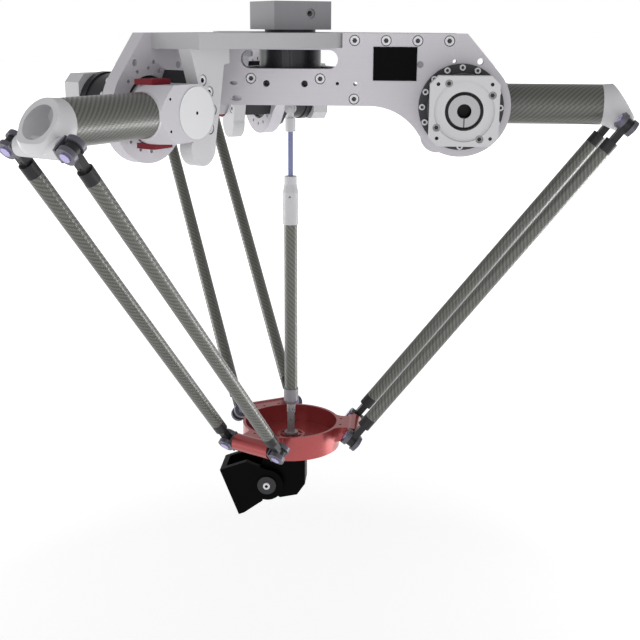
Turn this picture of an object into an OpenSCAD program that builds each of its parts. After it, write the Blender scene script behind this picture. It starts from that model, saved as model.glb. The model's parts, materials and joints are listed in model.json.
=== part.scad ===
// Ceiling-hung delta robot: three plate-and-bracket modules, three swing arms with rod pairs,
// a small ring platform, a telescopic drive shaft on the centre line and a tilting tool bracket.
// Millimetres. Z = 0 is the top face of the top plate, and the centre line of the robot is X = Y = 0.
// A module is drawn with its arm along +X and its motor axis along Y, then turned about Z.

/* [Frame plates] */
// Thickness of the top plate and of the three side plates
plate_thickness = 20; // [16:1:24]
// Distance from a module's middle plane to its side plate's inner face
plate_offset = 51.5; // [50:0.5:56]
// Height of a side plate below the top face
side_plate_depth = 99.5; // [92:0.5:106]
// Where a side plate steps up beside the blade of the top plate
step_reach = 80; // [76:1:84]
// Reach of a blade of the top plate
blade_reach = 240; // [236:1:248]
// Distance from a module's middle plane to the blade's open edge
blade_edge = 30; // [24:1:34]
// Reach of the side plate's top edge
shoulder_reach = 253; // [248:1:262]
// Radius of the side plate's round nose
nose_radius = 70; // [66:1:74]
// Radius of the curve that runs from the nose into the bottom edge
nose_fillet = 83; // [60:1:90]
// Radius of the side plate's gearbox bore
gearbox_bore_radius = 45; // [42:0.5:48]
// Length of the window slot
window_length = 137; // [110:1:140]
// Height of the window slot
window_height = 26; // [18:1:28]
// Reach of the window slot's middle
window_reach = 5.5; // [0:0.5:9]
// Depth of the window slot's middle line
window_depth = 36; // [35:0.5:40]

/* [Screws and holes] */
// Thread radius of the frame screws
screw_radius = 4; // [3:0.5:5]
// Head radius of the frame screws
screw_head_radius = 6.5; // [6:0.25:7]
// Head height of the frame screws
screw_head_height = 8; // [6:0.5:8]
// Length of a frame screw under its head
screw_length = 30; // [24:1:32]
// Spacing of the blade's edge screws
blade_screw_pitch = 43.8; // [36:0.5:44]
// Radius of the mounting bolt circle on the top face
ceiling_circle_radius = 200; // [170:5:210]
// Radius of the tapped mounting holes in the top face
ceiling_hole_radius = 5.1; // [4:0.1:6]
// Radius of the round lightening holes in the side plates
plate_hole_radius = 4.75; // [3:0.25:6]

/* [Motor modules] */
// Distance from the centre line to a motor axis
motor_reach = 246.8; // [240:0.1:252]
// Depth of the motor axes below the top face
motor_depth = 99; // [96:0.5:102]
// Radius of the gearbox flange
gearbox_flange_radius = 59; // [58:0.5:62]
// Thickness of the gearbox flange
gearbox_flange_thickness = 12; // [8:1:16]
// Radius of the gearbox screw circle
gearbox_circle_radius = 54; // [53:0.5:54]
// Number of gearbox screws
gearbox_screw_count = 16; // [8:1:16]
// Radius of the gearbox body
gearbox_radius = 46; // [45:0.5:48]
// Length of the gearbox from the side plate to the motor adapter
gearbox_length = 63.5; // [50:0.5:80]
// Width of the square motor adapter
adapter_width = 92; // [90:1:100]
// Thickness of the motor adapter
adapter_thickness = 26; // [22:1:32]
// Corner chamfer of the motor adapter
adapter_chamfer = 11; // [6:1:16]
// Radius of the motor's bolt circle
motor_circle_radius = 50; // [50:0.5:52]
// Radius of the tapped holes for the motor's screws
motor_hole_radius = 2.5; // [2:0.1:3]
// Radius of the recess for the motor's locating rim
pilot_radius = 40; // [36:0.5:40]
// Radius of the clamp hub
clamp_hub_radius = 21; // [18:0.5:22]
// Radius of the clamp hub's bore for the motor shaft
motor_shaft_radius = 9.5; // [7:0.5:11]

/* [Arms] */
// Radius of an arm's hub
hub_radius = 36.5; // [34:0.5:37]
// Distance from a module's middle plane to the hub cover's outer face
hub_face = 29.7; // [29:0.1:32]
// Thickness of the hub cover
cover_thickness = 3; // [2:0.5:5]
// Radius of the hub cover
cover_radius = 33.4; // [28:0.1:33.5]
// Outer radius of the arm tube
arm_tube_radius = 28.8; // [26:0.1:29]
// Wall of the arm tube
arm_tube_wall = 3; // [2:0.5:4]
// Reach of the joint between the hub casting and the arm tube
socket_reach = 317; // [314:0.5:322]
// Reach of the joint between the arm tube and the elbow housing
elbow_start = 453; // [440:1:456]
// Reach of the elbow shafts
elbow_reach = 482.7; // [476:0.1:490]
// Depth of the elbow shafts below the top face
elbow_depth = 123.2; // [121:0.1:125]
// Radius of the elbow housing over its shaft
elbow_radius = 36.2; // [32:0.1:37]
// Radius of the cross tube that holds an elbow shaft
cross_tube_radius = 13; // [12:0.5:14]
// Half length of the cross tubes
cross_tube_half = 35; // [33:0.5:36]
// Length of a red stop pad along its arm
pad_length = 34; // [24:1:36]
// Width of a red stop pad
pad_width = 30; // [20:1:30]
// Thickness of a stop pad
pad_thickness = 7; // [4:0.5:7.5]

/* [Rods] */
// Spacing of the two rods of a pair
rod_spacing = 97.3; // [96:0.1:110]
// Outer radius of a rod's tube
rod_radius = 10; // [8:0.5:11]
// Wall of a rod's tube
rod_wall = 2; // [1:0.5:3]
// Distance from a pin to the rod's tube
rod_end_length = 48; // [44:1:60]
// Radius of the shafts that carry the yokes
yoke_shaft_radius = 5; // [4:0.5:6]
// Radius of a yoke's cheeks
cheek_radius = 12.5; // [12:0.5:13]
// Thickness of a yoke's cheeks
cheek_thickness = 6.7; // [4:0.1:8]
// Radius of the pins
pin_radius = 4; // [3:0.5:5]
// Thickness of a rod end's tongue
tongue_thickness = 10; // [8:0.5:12]

/* [Platform] */
// Distance from the centre line to the platform's shafts
ear_reach = 99.2; // [97:0.1:106]
// Depth of the platform's shafts below the top face
ear_depth = 614.4; // [600:0.1:640]
// Outer radius of the platform ring
ring_radius = 77.5; // [74:0.5:80]
// Wall of the platform ring
ring_wall = 4.5; // [3:0.5:8]
// Height of the platform ring
ring_height = 38.4; // [34:0.2:44]
// Height of the ring's rim above the shafts
rim_rise = 11.8; // [8:0.2:13]
// Thickness of the platform's floor
floor_thickness = 9.4; // [6:0.2:12]
// Radius of the platform's cross tubes
ear_tube_radius = 13.25; // [13:0.25:15]
// Half length of the platform's cross tubes
ear_half = 33; // [30:0.5:34]
// Half width of an ear between its tube and the ring
ear_web_half = 26; // [20:1:28]

/* [Drive shaft] */
// Radius of the sliding rod
slide_rod_radius = 4; // [3:0.5:5]
// Radius of the shaft's tube
shaft_tube_radius = 10.15; // [9:0.05:11]
// Wall of the shaft's tube
shaft_tube_wall = 2; // [1:0.5:3]
// Depth of the sleeve's top
sleeve_top = 209.6; // [190:0.1:220]
// Depth of the joint between the sleeve and the tube
tube_top = 283; // [270:1:300]
// Depth of the tube's lower end
tube_bottom = 548; // [530:1:560]
// Width of the square top block
block_width = 89; // [88:1:100]
// Height of the top block's top face
block_top = 43; // [30:1:60]
// Radius of the drive gearbox's body
drive_radius = 45; // [40:0.5:46]
// Radius of the drive gearbox's neck in the top plate
neck_radius = 37; // [30:0.5:38]

/* [Tilting tool bracket] */
// Distance from the centre line to the tilt axis
tilt_offset = 36.7; // [34:0.1:40]
// Depth of the tilt axis below the top face
tilt_depth = 703.4; // [700:0.1:712]
// Angle from straight down at which the bracket is drawn
tilt_angle = 68.8; // [0:0.1:90]
// Half thickness of the fixed housing
housing_half = 20; // [16:0.5:24]
// Radius of the tilt axle
axle_radius = 8; // [6:0.5:9]
// Distance from the tilt axis to the tool face
tool_face = 62.4; // [60:0.1:70]
// Thickness of the tool plate
tool_plate_thickness = 10; // [8:0.5:12]
// Radius of the tool's bolt circle
tool_circle_radius = 25; // [20:0.5:26]
// Radius of the tapped holes for the tool's screws
tool_hole_radius = 2.5; // [2:0.1:3]

/* [Hidden] */
$fn = 96;
overlap = 0.5;
module_angles = [0, 240, 120];
fit_gap = 0.1;
running_gap = 0.05;
side_gap = 0.3;
// Curves that meet smoothly cross by this much, so that they never only touch
seam = 0.03;

// Frame
plate_outer = plate_offset + plate_thickness;
end_outer = (plate_offset * cos(120) - plate_outer) / sin(120) * -1;
window_radius = window_height / 2;
screw_counterbore = screw_head_radius + 1;
counterbore_depth = screw_head_height + 1;
screw_clearance = screw_radius + 0.5;
blade_screw_depth = plate_thickness / 2;
blade_screw_start = 97;
blade_screws = [for (k = [0:3]) [blade_screw_start + k * blade_screw_pitch, -blade_screw_depth]];
drive_screws = [[-49, -62.5], [49, -62.5]];
corner_screw = [97, -90];
corner_dowel = [98.5, -69];
dowel_radius = 2.8;
light_holes = [[-27, -69.5], [27, -69.5]];
edge_holes = [[236.3, -37.4, 2.8], [272.1, -37.4, 4.6], [73.4, -69, 2.4]];
plug_place = [188.8, -42];
plug_radius = 4.6;
name_plate_corner = [123.3, -64.3];
name_plate_size = [60.8, 46];
name_plate_thickness = 1;
chamfer = 6;
nose_drop = motor_depth - side_plate_depth - nose_fillet;
fillet_reach = motor_reach - sqrt(pow(nose_radius + nose_fillet, 2) - pow(nose_drop, 2));
shoulder_run = norm([motor_reach - shoulder_reach, motor_depth]);
shoulder_lean = atan2(-motor_depth, motor_reach - shoulder_reach)
    + asin((nose_radius - seam) / shoulder_run);
shoulder_length = sqrt(pow(shoulder_run, 2) - pow(nose_radius - seam, 2));
nose_share = nose_radius / (nose_radius + nose_fillet);
fillet_meet = [motor_reach + nose_share * (fillet_reach - motor_reach),
    -motor_depth + nose_share * nose_drop];

// Stop bracket and stop block
bracket_back = -5;
bracket_face = 15;
bracket_inner = 160.5;
hook_gap = 3.5;
hook_radius = hub_radius + hook_gap;
hook_meet = 124;
toe_place = [-28.8, -47];
toe_radius = 25;
bracket_screw_circle = 50;
bracket_screw_angles = [128, 151.5, 180, 208.7];
stop_inner = hub_radius + 2.5;
stop_outer = 60;
stop_start = 121.5;
stop_end = 215.5;

// Gearbox and motor adapter
gearbox_face = plate_outer + gearbox_flange_thickness;
adapter_back = plate_outer + gearbox_length;
adapter_face = adapter_back + adapter_thickness;
drive_flange_radius = hub_radius + 1.5;
drive_flange_end = plate_outer - 4.5;
rear_flange_radius = gearbox_radius + 2;
rear_flange_thickness = 10;
gear_screw_radius = 2.5;
gear_screw_head_radius = 4.25;
gear_screw_head_height = 5;
adapter_screw_circle = 42;
adapter_screw_angle = 30.5;
adapter_screw_radius = 3;
adapter_screw_head_radius = 5;
adapter_screw_head_height = 6;
adapter_screw_sink = 8;
adapter_screw_length = 24;
pilot_depth = 3;
motor_hole_depth = 18;
well_radius = clamp_hub_radius + 4.6;
clamp_hub_recess = 4;
clamp_hub_back = adapter_back + 1;
journal_radius = motor_shaft_radius + 3.5;
journal_length = 20;
clamp_slit = 2;

// Arms
hub_back = plate_offset - 2.5;
hub_side = hub_face - 1;
hub_flat = hub_radius - seam;
rim_radius = arm_tube_radius + 0.7;
rim_length = 4;
cone_slope = 0.69;
cone_run = socket_reach - rim_length - motor_reach;
pad_reach = motor_reach + 21.5;
pad_side = 5;
cover_screw_radius = 2.2;
side_hole_radius = 1.8;
side_hole_place = [49.3, 20];
side_hole_depth = 12;
spigot_length = 25;
spigot_wall = 4;
inner_tube_radius = arm_tube_radius - arm_tube_wall - fit_gap;
elbow_wall = 4;
elbow_collar = 4;
elbow_side = cross_tube_half - 0.5;
mouth_top = [15, 30];
mouth_bottom = [47, -19];
lip_radius = 18.5;

// Rods
rod_run = ear_reach - elbow_reach;
rod_drop = elbow_depth - ear_depth;
rod_length = norm([rod_run, rod_drop]);
rod_lean = atan2(-rod_run, -rod_drop);
cheek_inner = tongue_thickness / 2 + side_gap;
cheek_outer = cheek_inner + cheek_thickness;
web_start = cross_tube_half + side_gap;
web_thickness = 3;
eye_radius = rod_spacing / 2 - web_start - web_thickness - 0.8;
tongue_width = 12.5;
tongue_length = 30;
spigot_inside = 15;
pin_head_radius = 6.5;
pin_head_height = 1.8;
end_hole_radius = 1.4;

// Platform. The lower shafts have room to float in the cross tubes, because the rod loop is opened there.
loop_clearance = 5.2;
ear_bore_radius = yoke_shaft_radius + loop_clearance;
rim_depth = ear_depth - rim_rise;
ring_bottom = rim_depth + ring_height;
floor_top = ring_bottom - floor_thickness;
boss_radius = 22;
boss_height = 6;
slot_inner = 14;
slot_outer = 18;
slot_depth = 3;
ear_fillet = 16;
ear_fillet_side = ear_web_half + ear_fillet;
ear_fillet_reach = sqrt(pow(ring_radius + ear_fillet, 2) - pow(ear_fillet_side, 2));
ear_thickness = rim_rise + ear_tube_radius - 1.5;
ear_hole_radius = 2;

// Drive shaft
joint_radius = 6;
output_depth = 94;
eye_depth = 109;
eye_outer_radius = 8.5;
nut_top = 123;
nut_bottom = 143;
nut_width = 13.4;
rod_tip = sleeve_top + 160;
sleeve_neck_radius = 9.5;
sleeve_radius = shaft_tube_radius + 1.8;
cone_top = sleeve_top + 12.1;
cone_bottom = sleeve_top + 24.4;
sleeve_spigot = 20;
set_screw_radius = 1.75;
coupling_radius = shaft_tube_radius + 1.35;
coupling_bottom = 573.5;
joint_neck_radius = 7;
spigot_radius = shaft_tube_radius - shaft_tube_wall - fit_gap;
block_bottom = 4;
block_turn = 30;
access_place = [12, 26];
access_radius = 4;
drive_bottom = 90;
lug_half = 58;
lug_thickness = 9.5;
lug_height = 19;
drive_screw_depth = 62.5;
groove_half = 8.25;
rib_half = 3.25;
groove_depth = 2.5;

// Tilting tool bracket
housing_right = 24;
housing_flange_radius = 40;
housing_flange_thickness = 8;
housing_chamfer = [13, 19];
tilt_hub_radius = 26;
fork_inner = housing_half + 1;
fork_outer = fork_inner + 10;
tool_low = -32.9;
tool_high = 49.2;
tool_middle = (tool_low + tool_high) / 2;
fork_step = 17;
axle_disc_radius = 15;
axle_disc_thickness = 3;
axle_screw_radius = 5.5;
tool_pilot_radius = 15.75;
tool_pilot_depth = 4;

// Colours
lilac_metal = [0.74, 0.73, 0.76];
white_metal = [0.90, 0.90, 0.91];
carbon = [0.22, 0.23, 0.21];
black_part = [0.05, 0.05, 0.055];
dark_metal = [0.20, 0.20, 0.21];
steel = [0.62, 0.62, 0.64];
grey_metal = [0.42, 0.42, 0.46];
red_part = [0.72, 0.24, 0.25];
pad_red = [0.60, 0.04, 0.06];
violet_metal = [0.50, 0.48, 0.75];

// Turns a module's parts to its place about the centre line
module at_module(i) {
    rotate([0, 0, module_angles[i]])
        children();
}

// Extrudes an outline in the X-Z plane between two Y positions
module slab(y0, y1) {
    translate([0, y1, 0])
        rotate([90, 0, 0])
            linear_extrude(height = y1 - y0)
                children();
}

// A cylinder along Y between two Y positions, at a place in the X-Z plane
module rod_y(place, radius, y0, y1) {
    translate([place[0], y0, place[1]])
        rotate([-90, 0, 0])
            cylinder(r = radius, h = y1 - y0);
}

// A cylinder along X between two X positions, at a height
module rod_x(height, radius, x0, x1) {
    translate([x0, 0, height])
        rotate([0, 90, 0])
            cylinder(r = radius, h = x1 - x0);
}

// A cylinder on the centre line between two depths
module post(radius, top, bottom) {
    translate([0, 0, -bottom])
        cylinder(r = radius, h = bottom - top);
}

motor_axis = [motor_reach, -motor_depth];

// ---- Frame ----

function turned(p, a) = [p[0] * cos(a) - p[1] * sin(a), p[0] * sin(a) + p[1] * cos(a)];

blade_outline = [[step_reach - chamfer, -plate_outer], [step_reach, -plate_outer + chamfer],
    [step_reach, -plate_offset], [blade_reach, -plate_offset], [blade_reach, blade_edge]];

module top_plate() {
    difference() {
        translate([0, 0, -plate_thickness])
            linear_extrude(height = plate_thickness)
                polygon([for (a = [0, 120, 240]) for (p = blade_outline) turned(p, a)]);
        post(neck_radius + fit_gap, -overlap, plate_thickness + overlap);
        for (i = [0:2])
            at_module(i) {
                for (p = blade_screws)
                    rod_y(p, screw_radius + fit_gap, -plate_offset - overlap, -plate_offset + screw_length);
                translate([ceiling_circle_radius, 0, -plate_thickness - overlap])
                    cylinder(r = ceiling_hole_radius, h = plate_thickness + 2 * overlap);
            }
    }
}

// The neighbour's corner screw and dowel run into a side plate's end
module corner_bores(radius, place, depth) {
    rotate([0, 0, -120])
        rod_y(place, radius, -plate_outer - overlap, -plate_offset + depth);
}

module side_outline() {
    polygon([[-end_outer, -side_plate_depth], [-end_outer, -plate_thickness],
        [step_reach, -plate_thickness], [step_reach, 0], [shoulder_reach, 0],
        [shoulder_reach + shoulder_length * cos(shoulder_lean), shoulder_length * sin(shoulder_lean)],
        motor_axis, fillet_meet, [fillet_reach, -side_plate_depth]]);
}

module window_outline() {
    half = window_length / 2 - window_radius;
    translate([window_reach - half, -window_depth - window_radius])
        square([2 * half, window_height]);
    for (side = [-1, 1])
        translate([window_reach + side * half, -window_depth])
            circle(r = window_radius);
}

module screw_seat(place) {
    rod_y(place, screw_clearance, -plate_outer - overlap, -plate_offset + overlap);
    rod_y(place, screw_counterbore, -plate_outer - overlap, -plate_outer + counterbore_depth);
}

module side_plate() {
    difference() {
        union() {
            slab(-plate_outer, -plate_offset)
                side_outline();
            rod_y(motor_axis, nose_radius, -plate_outer, -plate_offset);
        }
        rod_y([fillet_reach, -side_plate_depth - nose_fillet], nose_fillet + seam,
            -plate_outer - overlap, -plate_offset + overlap);
        // The inner end lies against the neighbour's inner face
        rotate([0, 0, -120])
            translate([0, -plate_outer - 2 * plate_thickness, -side_plate_depth - overlap])
                cube([shoulder_reach, 3 * plate_thickness, side_plate_depth + 2 * overlap]);
        slab(-plate_outer - overlap, -plate_offset + overlap)
            window_outline();
        rod_y(motor_axis, gearbox_bore_radius, -plate_outer - overlap, -plate_offset + overlap);
        for (p = concat(blade_screws, drive_screws, [corner_screw]))
            screw_seat(p);
        rod_y(corner_dowel, dowel_radius, -plate_outer - overlap, -plate_offset + overlap);
        corner_bores(screw_radius + fit_gap, corner_screw, 2 * plate_thickness);
        corner_bores(dowel_radius, corner_dowel, 2 * plate_thickness);
        for (p = light_holes)
            rod_y(p, plate_hole_radius, -plate_outer - overlap, -plate_offset + overlap);
        for (p = edge_holes)
            rod_y(p, p[2], -plate_outer - overlap, -plate_offset + overlap);
        rod_y(plug_place, plug_radius, -plate_outer - overlap, -plate_outer + 2);
        at_motor_circle(gearbox_circle_radius, gearbox_screw_count, 0)
            rod_y([0, 0], gear_screw_radius + fit_gap, -plate_outer - overlap, -plate_offset + overlap);
    }
}

// Copies children round the motor axis
module at_motor_circle(radius, count, start) {
    for (k = [0:count - 1]) {
        angle = start + k * 360 / count;
        translate([motor_reach + radius * cos(angle), 0, -motor_depth + radius * sin(angle)])
            children();
    }
}

module frame_screw(place) {
    rod_y(place, screw_head_radius, -plate_outer + counterbore_depth - screw_head_height,
        -plate_outer + counterbore_depth);
    rod_y(place, screw_radius, -plate_outer + counterbore_depth - overlap,
        -plate_outer + counterbore_depth + screw_length);
}

module bracket_screw(angle) {
    place = [motor_reach + bracket_screw_circle * cos(angle), -motor_depth + bracket_screw_circle * sin(angle)];
    rod_y(place, screw_head_radius, bracket_face - counterbore_depth, bracket_face - counterbore_depth
        + screw_head_height);
    rod_y(place, screw_radius, bracket_face - counterbore_depth - screw_length,
        bracket_face - counterbore_depth + overlap);
}

module plate_screws() {
    for (i = [0:2])
        at_module(i) {
            for (p = concat(blade_screws, drive_screws, [corner_screw]))
                difference() {
                    frame_screw(p);
                    rod_y(p, screw_radius * 0.75, -plate_outer, -plate_outer + counterbore_depth / 2);
                }
            for (a = bracket_screw_angles)
                difference() {
                    bracket_screw(a);
                    at_bracket_circle(a)
                        rod_y([0, 0], screw_radius * 0.75, bracket_face - counterbore_depth / 2, bracket_face);
                }
        }
}

module at_bracket_circle(angle) {
    translate([motor_reach + bracket_screw_circle * cos(angle), 0,
        -motor_depth + bracket_screw_circle * sin(angle)])
        children();
}

module name_plate() {
    translate([name_plate_corner[0], -plate_outer - name_plate_thickness, name_plate_corner[1]])
        cube([name_plate_size[0], name_plate_thickness, name_plate_size[1]]);
}

module bracket_outline() {
    polygon([[bracket_inner, -plate_thickness], [blade_reach, -plate_thickness],
        motor_axis + (hook_radius - 1) * [cos(hook_meet), sin(hook_meet)],
        motor_axis, motor_axis + toe_place + [0, 8], motor_axis + toe_place + [1 - toe_radius, 0],
        [bracket_inner + 21.5, -92], [bracket_inner + 12, -41], [bracket_inner, -39]]);
}

module stop_bracket() {
    difference() {
        union() {
            slab(bracket_back, bracket_face)
                bracket_outline();
            rod_y(motor_axis + toe_place, toe_radius, bracket_back, bracket_face);
        }
        rod_y(motor_axis, hook_radius, bracket_back - overlap, bracket_face + overlap);
        for (a = bracket_screw_angles)
            at_bracket_circle(a) {
                rod_y([0, 0], screw_clearance, bracket_back - overlap, bracket_face + overlap);
                rod_y([0, 0], screw_counterbore, bracket_face - counterbore_depth, bracket_face + overlap);
            }
    }
}

// A sector of a ring about the motor axis
module stop_sector() {
    far = 2 * stop_outer;
    middle = (stop_start + stop_end) / 2;
    intersection() {
        difference() {
            circle(r = stop_outer);
            circle(r = stop_inner);
        }
        polygon([[0, 0], far * [cos(stop_start), sin(stop_start)], far * [cos(middle), sin(middle)],
            far * [cos(stop_end), sin(stop_end)]]);
    }
}

module stop_blocks() {
    for (i = [0:2])
        at_module(i)
            difference() {
                slab(-plate_offset, bracket_back)
                    translate(motor_axis)
                        stop_sector();
                for (a = bracket_screw_angles)
                    at_bracket_circle(a)
                        rod_y([0, 0], screw_radius + fit_gap, bracket_back - screw_length, bracket_back + overlap);
            }
}

// ---- Motor modules ----

module gearbox() {
    difference() {
        union() {
            rod_y(motor_axis, gearbox_flange_radius, -gearbox_face, -plate_outer);
            rod_y(motor_axis, gearbox_bore_radius - fit_gap, -plate_outer - overlap, -plate_offset - 4);
            rod_y(motor_axis, gearbox_radius, -adapter_back, -gearbox_face + overlap);
            rod_y(motor_axis, rear_flange_radius, -adapter_back, -adapter_back + rear_flange_thickness);
        }
        rod_y(motor_axis, drive_flange_radius + running_gap, -drive_flange_end - 1, -plate_offset);
        rod_y(motor_axis, journal_radius + running_gap, -adapter_back - overlap,
            -clamp_hub_back + journal_length + 1);
        at_motor_circle(gearbox_circle_radius, gearbox_screw_count, 0)
            rod_y([0, 0], gear_screw_radius + fit_gap, -gearbox_face - overlap, -plate_outer + overlap);
        at_motor_circle(adapter_screw_circle, 4, adapter_screw_angle)
            rod_y([0, 0], adapter_screw_radius + fit_gap, -adapter_back - overlap,
                -adapter_back + adapter_screw_length);
    }
}

module gearbox_screws() {
    for (i = [0:2])
        at_module(i)
            at_motor_circle(gearbox_circle_radius, gearbox_screw_count, 0)
                difference() {
                    union() {
                        rod_y([0, 0], gear_screw_head_radius, -gearbox_face - gear_screw_head_height, -gearbox_face);
                        rod_y([0, 0], gear_screw_radius, -gearbox_face - overlap, -plate_offset - 5);
                    }
                    rod_y([0, 0], gear_screw_radius * 0.8, -gearbox_face - gear_screw_head_height - overlap,
                        -gearbox_face - gear_screw_head_height / 2);
                }
}

module adapter_outline(width, cut) {
    half = width / 2;
    inner = half - cut;
    polygon([[-half, -inner], [-inner, -half], [inner, -half], [half, -inner],
        [half, inner], [inner, half], [-inner, half], [-half, inner]]);
}

module motor_adapter() {
    difference() {
        slab(-adapter_face, -adapter_back)
            translate(motor_axis)
                adapter_outline(adapter_width, adapter_chamfer);
        rod_y(motor_axis, pilot_radius, -adapter_face - overlap, -adapter_face + pilot_depth);
        rod_y(motor_axis, well_radius, -adapter_face - overlap, -adapter_back + overlap);
        at_motor_circle(motor_circle_radius, 4, 45)
            rod_y([0, 0], motor_hole_radius, -adapter_face - overlap, -adapter_face + motor_hole_depth);
        at_motor_circle(adapter_screw_circle, 4, adapter_screw_angle) {
            rod_y([0, 0], adapter_screw_radius + fit_gap, -adapter_face - overlap, -adapter_back + overlap);
            rod_y([0, 0], adapter_screw_head_radius + fit_gap, -adapter_face - overlap,
                -adapter_face + adapter_screw_sink);
        }
    }
}

module adapter_screws() {
    head = -adapter_face + adapter_screw_sink;
    for (i = [0:2])
        at_module(i)
            at_motor_circle(adapter_screw_circle, 4, adapter_screw_angle)
                difference() {
                    union() {
                        rod_y([0, 0], adapter_screw_head_radius, head - adapter_screw_head_height, head);
                        rod_y([0, 0], adapter_screw_radius, head - overlap, head + adapter_screw_length);
                    }
                    rod_y([0, 0], adapter_screw_radius * 0.8, head - adapter_screw_head_height - overlap,
                        head - adapter_screw_head_height / 2);
                }
}

module clamp_hub() {
    difference() {
        union() {
            rod_y(motor_axis, clamp_hub_radius, -adapter_face + clamp_hub_recess, -clamp_hub_back);
            rod_y(motor_axis, journal_radius, -clamp_hub_back - overlap, -clamp_hub_back + journal_length);
        }
        rod_y(motor_axis, motor_shaft_radius, -adapter_face, -clamp_hub_back + journal_length - 2);
        translate([motor_reach - clamp_slit / 2, -adapter_face, -motor_depth - clamp_hub_radius - overlap])
            cube([clamp_slit, adapter_thickness - 12, clamp_hub_radius]);
    }
}

// ---- Arms ----

module arm_hub() {
    difference() {
        union() {
            rod_y(motor_axis, hub_radius, -hub_back, hub_side);
            rod_y(motor_axis, drive_flange_radius, -drive_flange_end, -hub_back + overlap);
            intersection() {
                hub_nose();
                translate([motor_reach, -hub_side, -motor_depth - hub_flat])
                    cube([socket_reach - motor_reach, 2 * hub_side, 2 * hub_flat]);
            }
            rod_x(-motor_depth, inner_tube_radius, socket_reach - overlap, socket_reach + spigot_length);
        }
        rod_x(-motor_depth, inner_tube_radius - spigot_wall, socket_reach - spigot_length,
            socket_reach + spigot_length + overlap);
        rod_y(motor_axis, cover_radius + fit_gap, hub_face - cover_thickness, hub_face);
        for (side = [-1, 1])
            rod_y([motor_reach + side_hole_place[0], -motor_depth + side * side_hole_place[1]],
                side_hole_radius, hub_side - side_hole_depth, hub_face);
        rod_y(motor_axis, cover_screw_radius, hub_face - cover_thickness - 12, hub_face);
    }
}

// The tapering front of the hub casting, turned about the arm tube's axis
module hub_nose() {
    translate([motor_reach, 0, -motor_depth])
        rotate([0, 90, 0])
            cylinder(r1 = rim_radius + cone_slope * cone_run, r2 = rim_radius, h = cone_run);
    rod_x(-motor_depth, rim_radius, socket_reach - rim_length - overlap, socket_reach);
}

module hub_cover() {
    difference() {
        rod_y(motor_axis, cover_radius, hub_face - cover_thickness, hub_face);
        rod_y(motor_axis, cover_screw_radius, hub_face - cover_thickness - overlap, hub_face + overlap);
    }
}

module stop_pads() {
    for (side = [-1, 1])
        translate([pad_reach, pad_side - pad_width, -motor_depth + side * (hub_flat + pad_thickness / 2)
            - pad_thickness / 2])
            cube([pad_length, pad_width, pad_thickness]);
}

module arm_tube() {
    difference() {
        rod_x(-motor_depth, arm_tube_radius, socket_reach, elbow_start);
        rod_x(-motor_depth, arm_tube_radius - arm_tube_wall, socket_reach - overlap, elbow_start + overlap);
    }
}

// Side view of the elbow housing: its slanted mouth and its round lip
module elbow_mask() {
    far = 2 * elbow_radius;
    start = [elbow_start, -motor_depth];
    run = mouth_bottom - mouth_top;
    intersection() {
        polygon([start - [spigot_length, far], start + [-spigot_length, far], start + mouth_top - run,
            start + mouth_bottom + run]);
        union() {
            translate(start - [spigot_length, far])
                square([spigot_length + elbow_reach - elbow_start, 2 * far]);
            translate([elbow_reach, -elbow_depth])
                circle(r = lip_radius);
        }
    }
}

// The widening shell of the elbow housing, drawn inside its outer surface by an inset
module elbow_shell(start, inset) {
    translate([start, 0, -motor_depth])
        rotate([0, 90, 0])
            cylinder(r1 = arm_tube_radius - inset, r2 = elbow_radius - inset, h = elbow_reach - start);
    rod_x(-motor_depth, elbow_radius - inset, elbow_reach - overlap / 10, elbow_reach + elbow_radius);
}

module elbow_housing() {
    difference() {
        union() {
            difference() {
                intersection() {
                    union() {
                        elbow_shell(elbow_start, 0);
                        rod_x(-motor_depth, inner_tube_radius, elbow_start - spigot_length, elbow_start + overlap);
                    }
                    slab(-elbow_side, elbow_side)
                        elbow_mask();
                }
                elbow_shell(elbow_start + elbow_collar, elbow_wall);
                rod_x(-motor_depth, inner_tube_radius - spigot_wall, elbow_start - spigot_length - overlap,
                    elbow_start + elbow_collar + overlap);
            }
            rod_y([elbow_reach, -elbow_depth], cross_tube_radius, -cross_tube_half, cross_tube_half);
        }
        rod_y([elbow_reach, -elbow_depth], yoke_shaft_radius + running_gap, -cross_tube_half - overlap,
            cross_tube_half + overlap);
    }
}

// ---- Rods ----

// Turns children so that local -Z runs down a rod from the elbow shaft
module down_rod() {
    translate([elbow_reach, 0, -elbow_depth])
        rotate([0, rod_lean, 0])
            children();
}

module yoke_shaft() {
    half = rod_spacing / 2;
    rod_y([0, 0], yoke_shaft_radius, -web_start - overlap, web_start + overlap);
    for (side = [-1, 1])
        mirror([0, side < 0 ? 1 : 0, 0])
            difference() {
                union() {
                    translate([-cheek_outer, web_start, -cheek_radius * 0.8])
                        cube([2 * cheek_outer, web_thickness, 1.6 * cheek_radius]);
                    translate([0, half, 0])
                        rotate([0, 90, 0])
                            cylinder(r = cheek_radius, h = 2 * cheek_outer, center = true);
                }
                translate([-cheek_inner, web_start + web_thickness, -cheek_radius - overlap])
                    cube([2 * cheek_inner, 2 * cheek_radius + web_thickness, 2 * cheek_radius + 2 * overlap]);
                translate([0, half, 0])
                    rotate([0, 90, 0])
                        cylinder(r = pin_radius + fit_gap, h = 2 * cheek_outer + 2 * overlap, center = true);
            }
}

module yoke_shafts() {
    down_rod() {
        yoke_shaft();
        translate([0, 0, -rod_length])
            yoke_shaft();
    }
}

module rod_pins() {
    down_rod()
        for (z = [0, -rod_length])
            for (side = [-1, 1])
                translate([0, side * rod_spacing / 2, z])
                    rotate([0, 90, 0]) {
                        cylinder(r = pin_radius, h = 2 * cheek_outer, center = true);
                        for (end = [-1, 1])
                            translate([0, 0, end * (cheek_outer + pin_head_height / 2)])
                                cylinder(r = pin_head_radius, h = pin_head_height, center = true);
                    }
}

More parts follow.
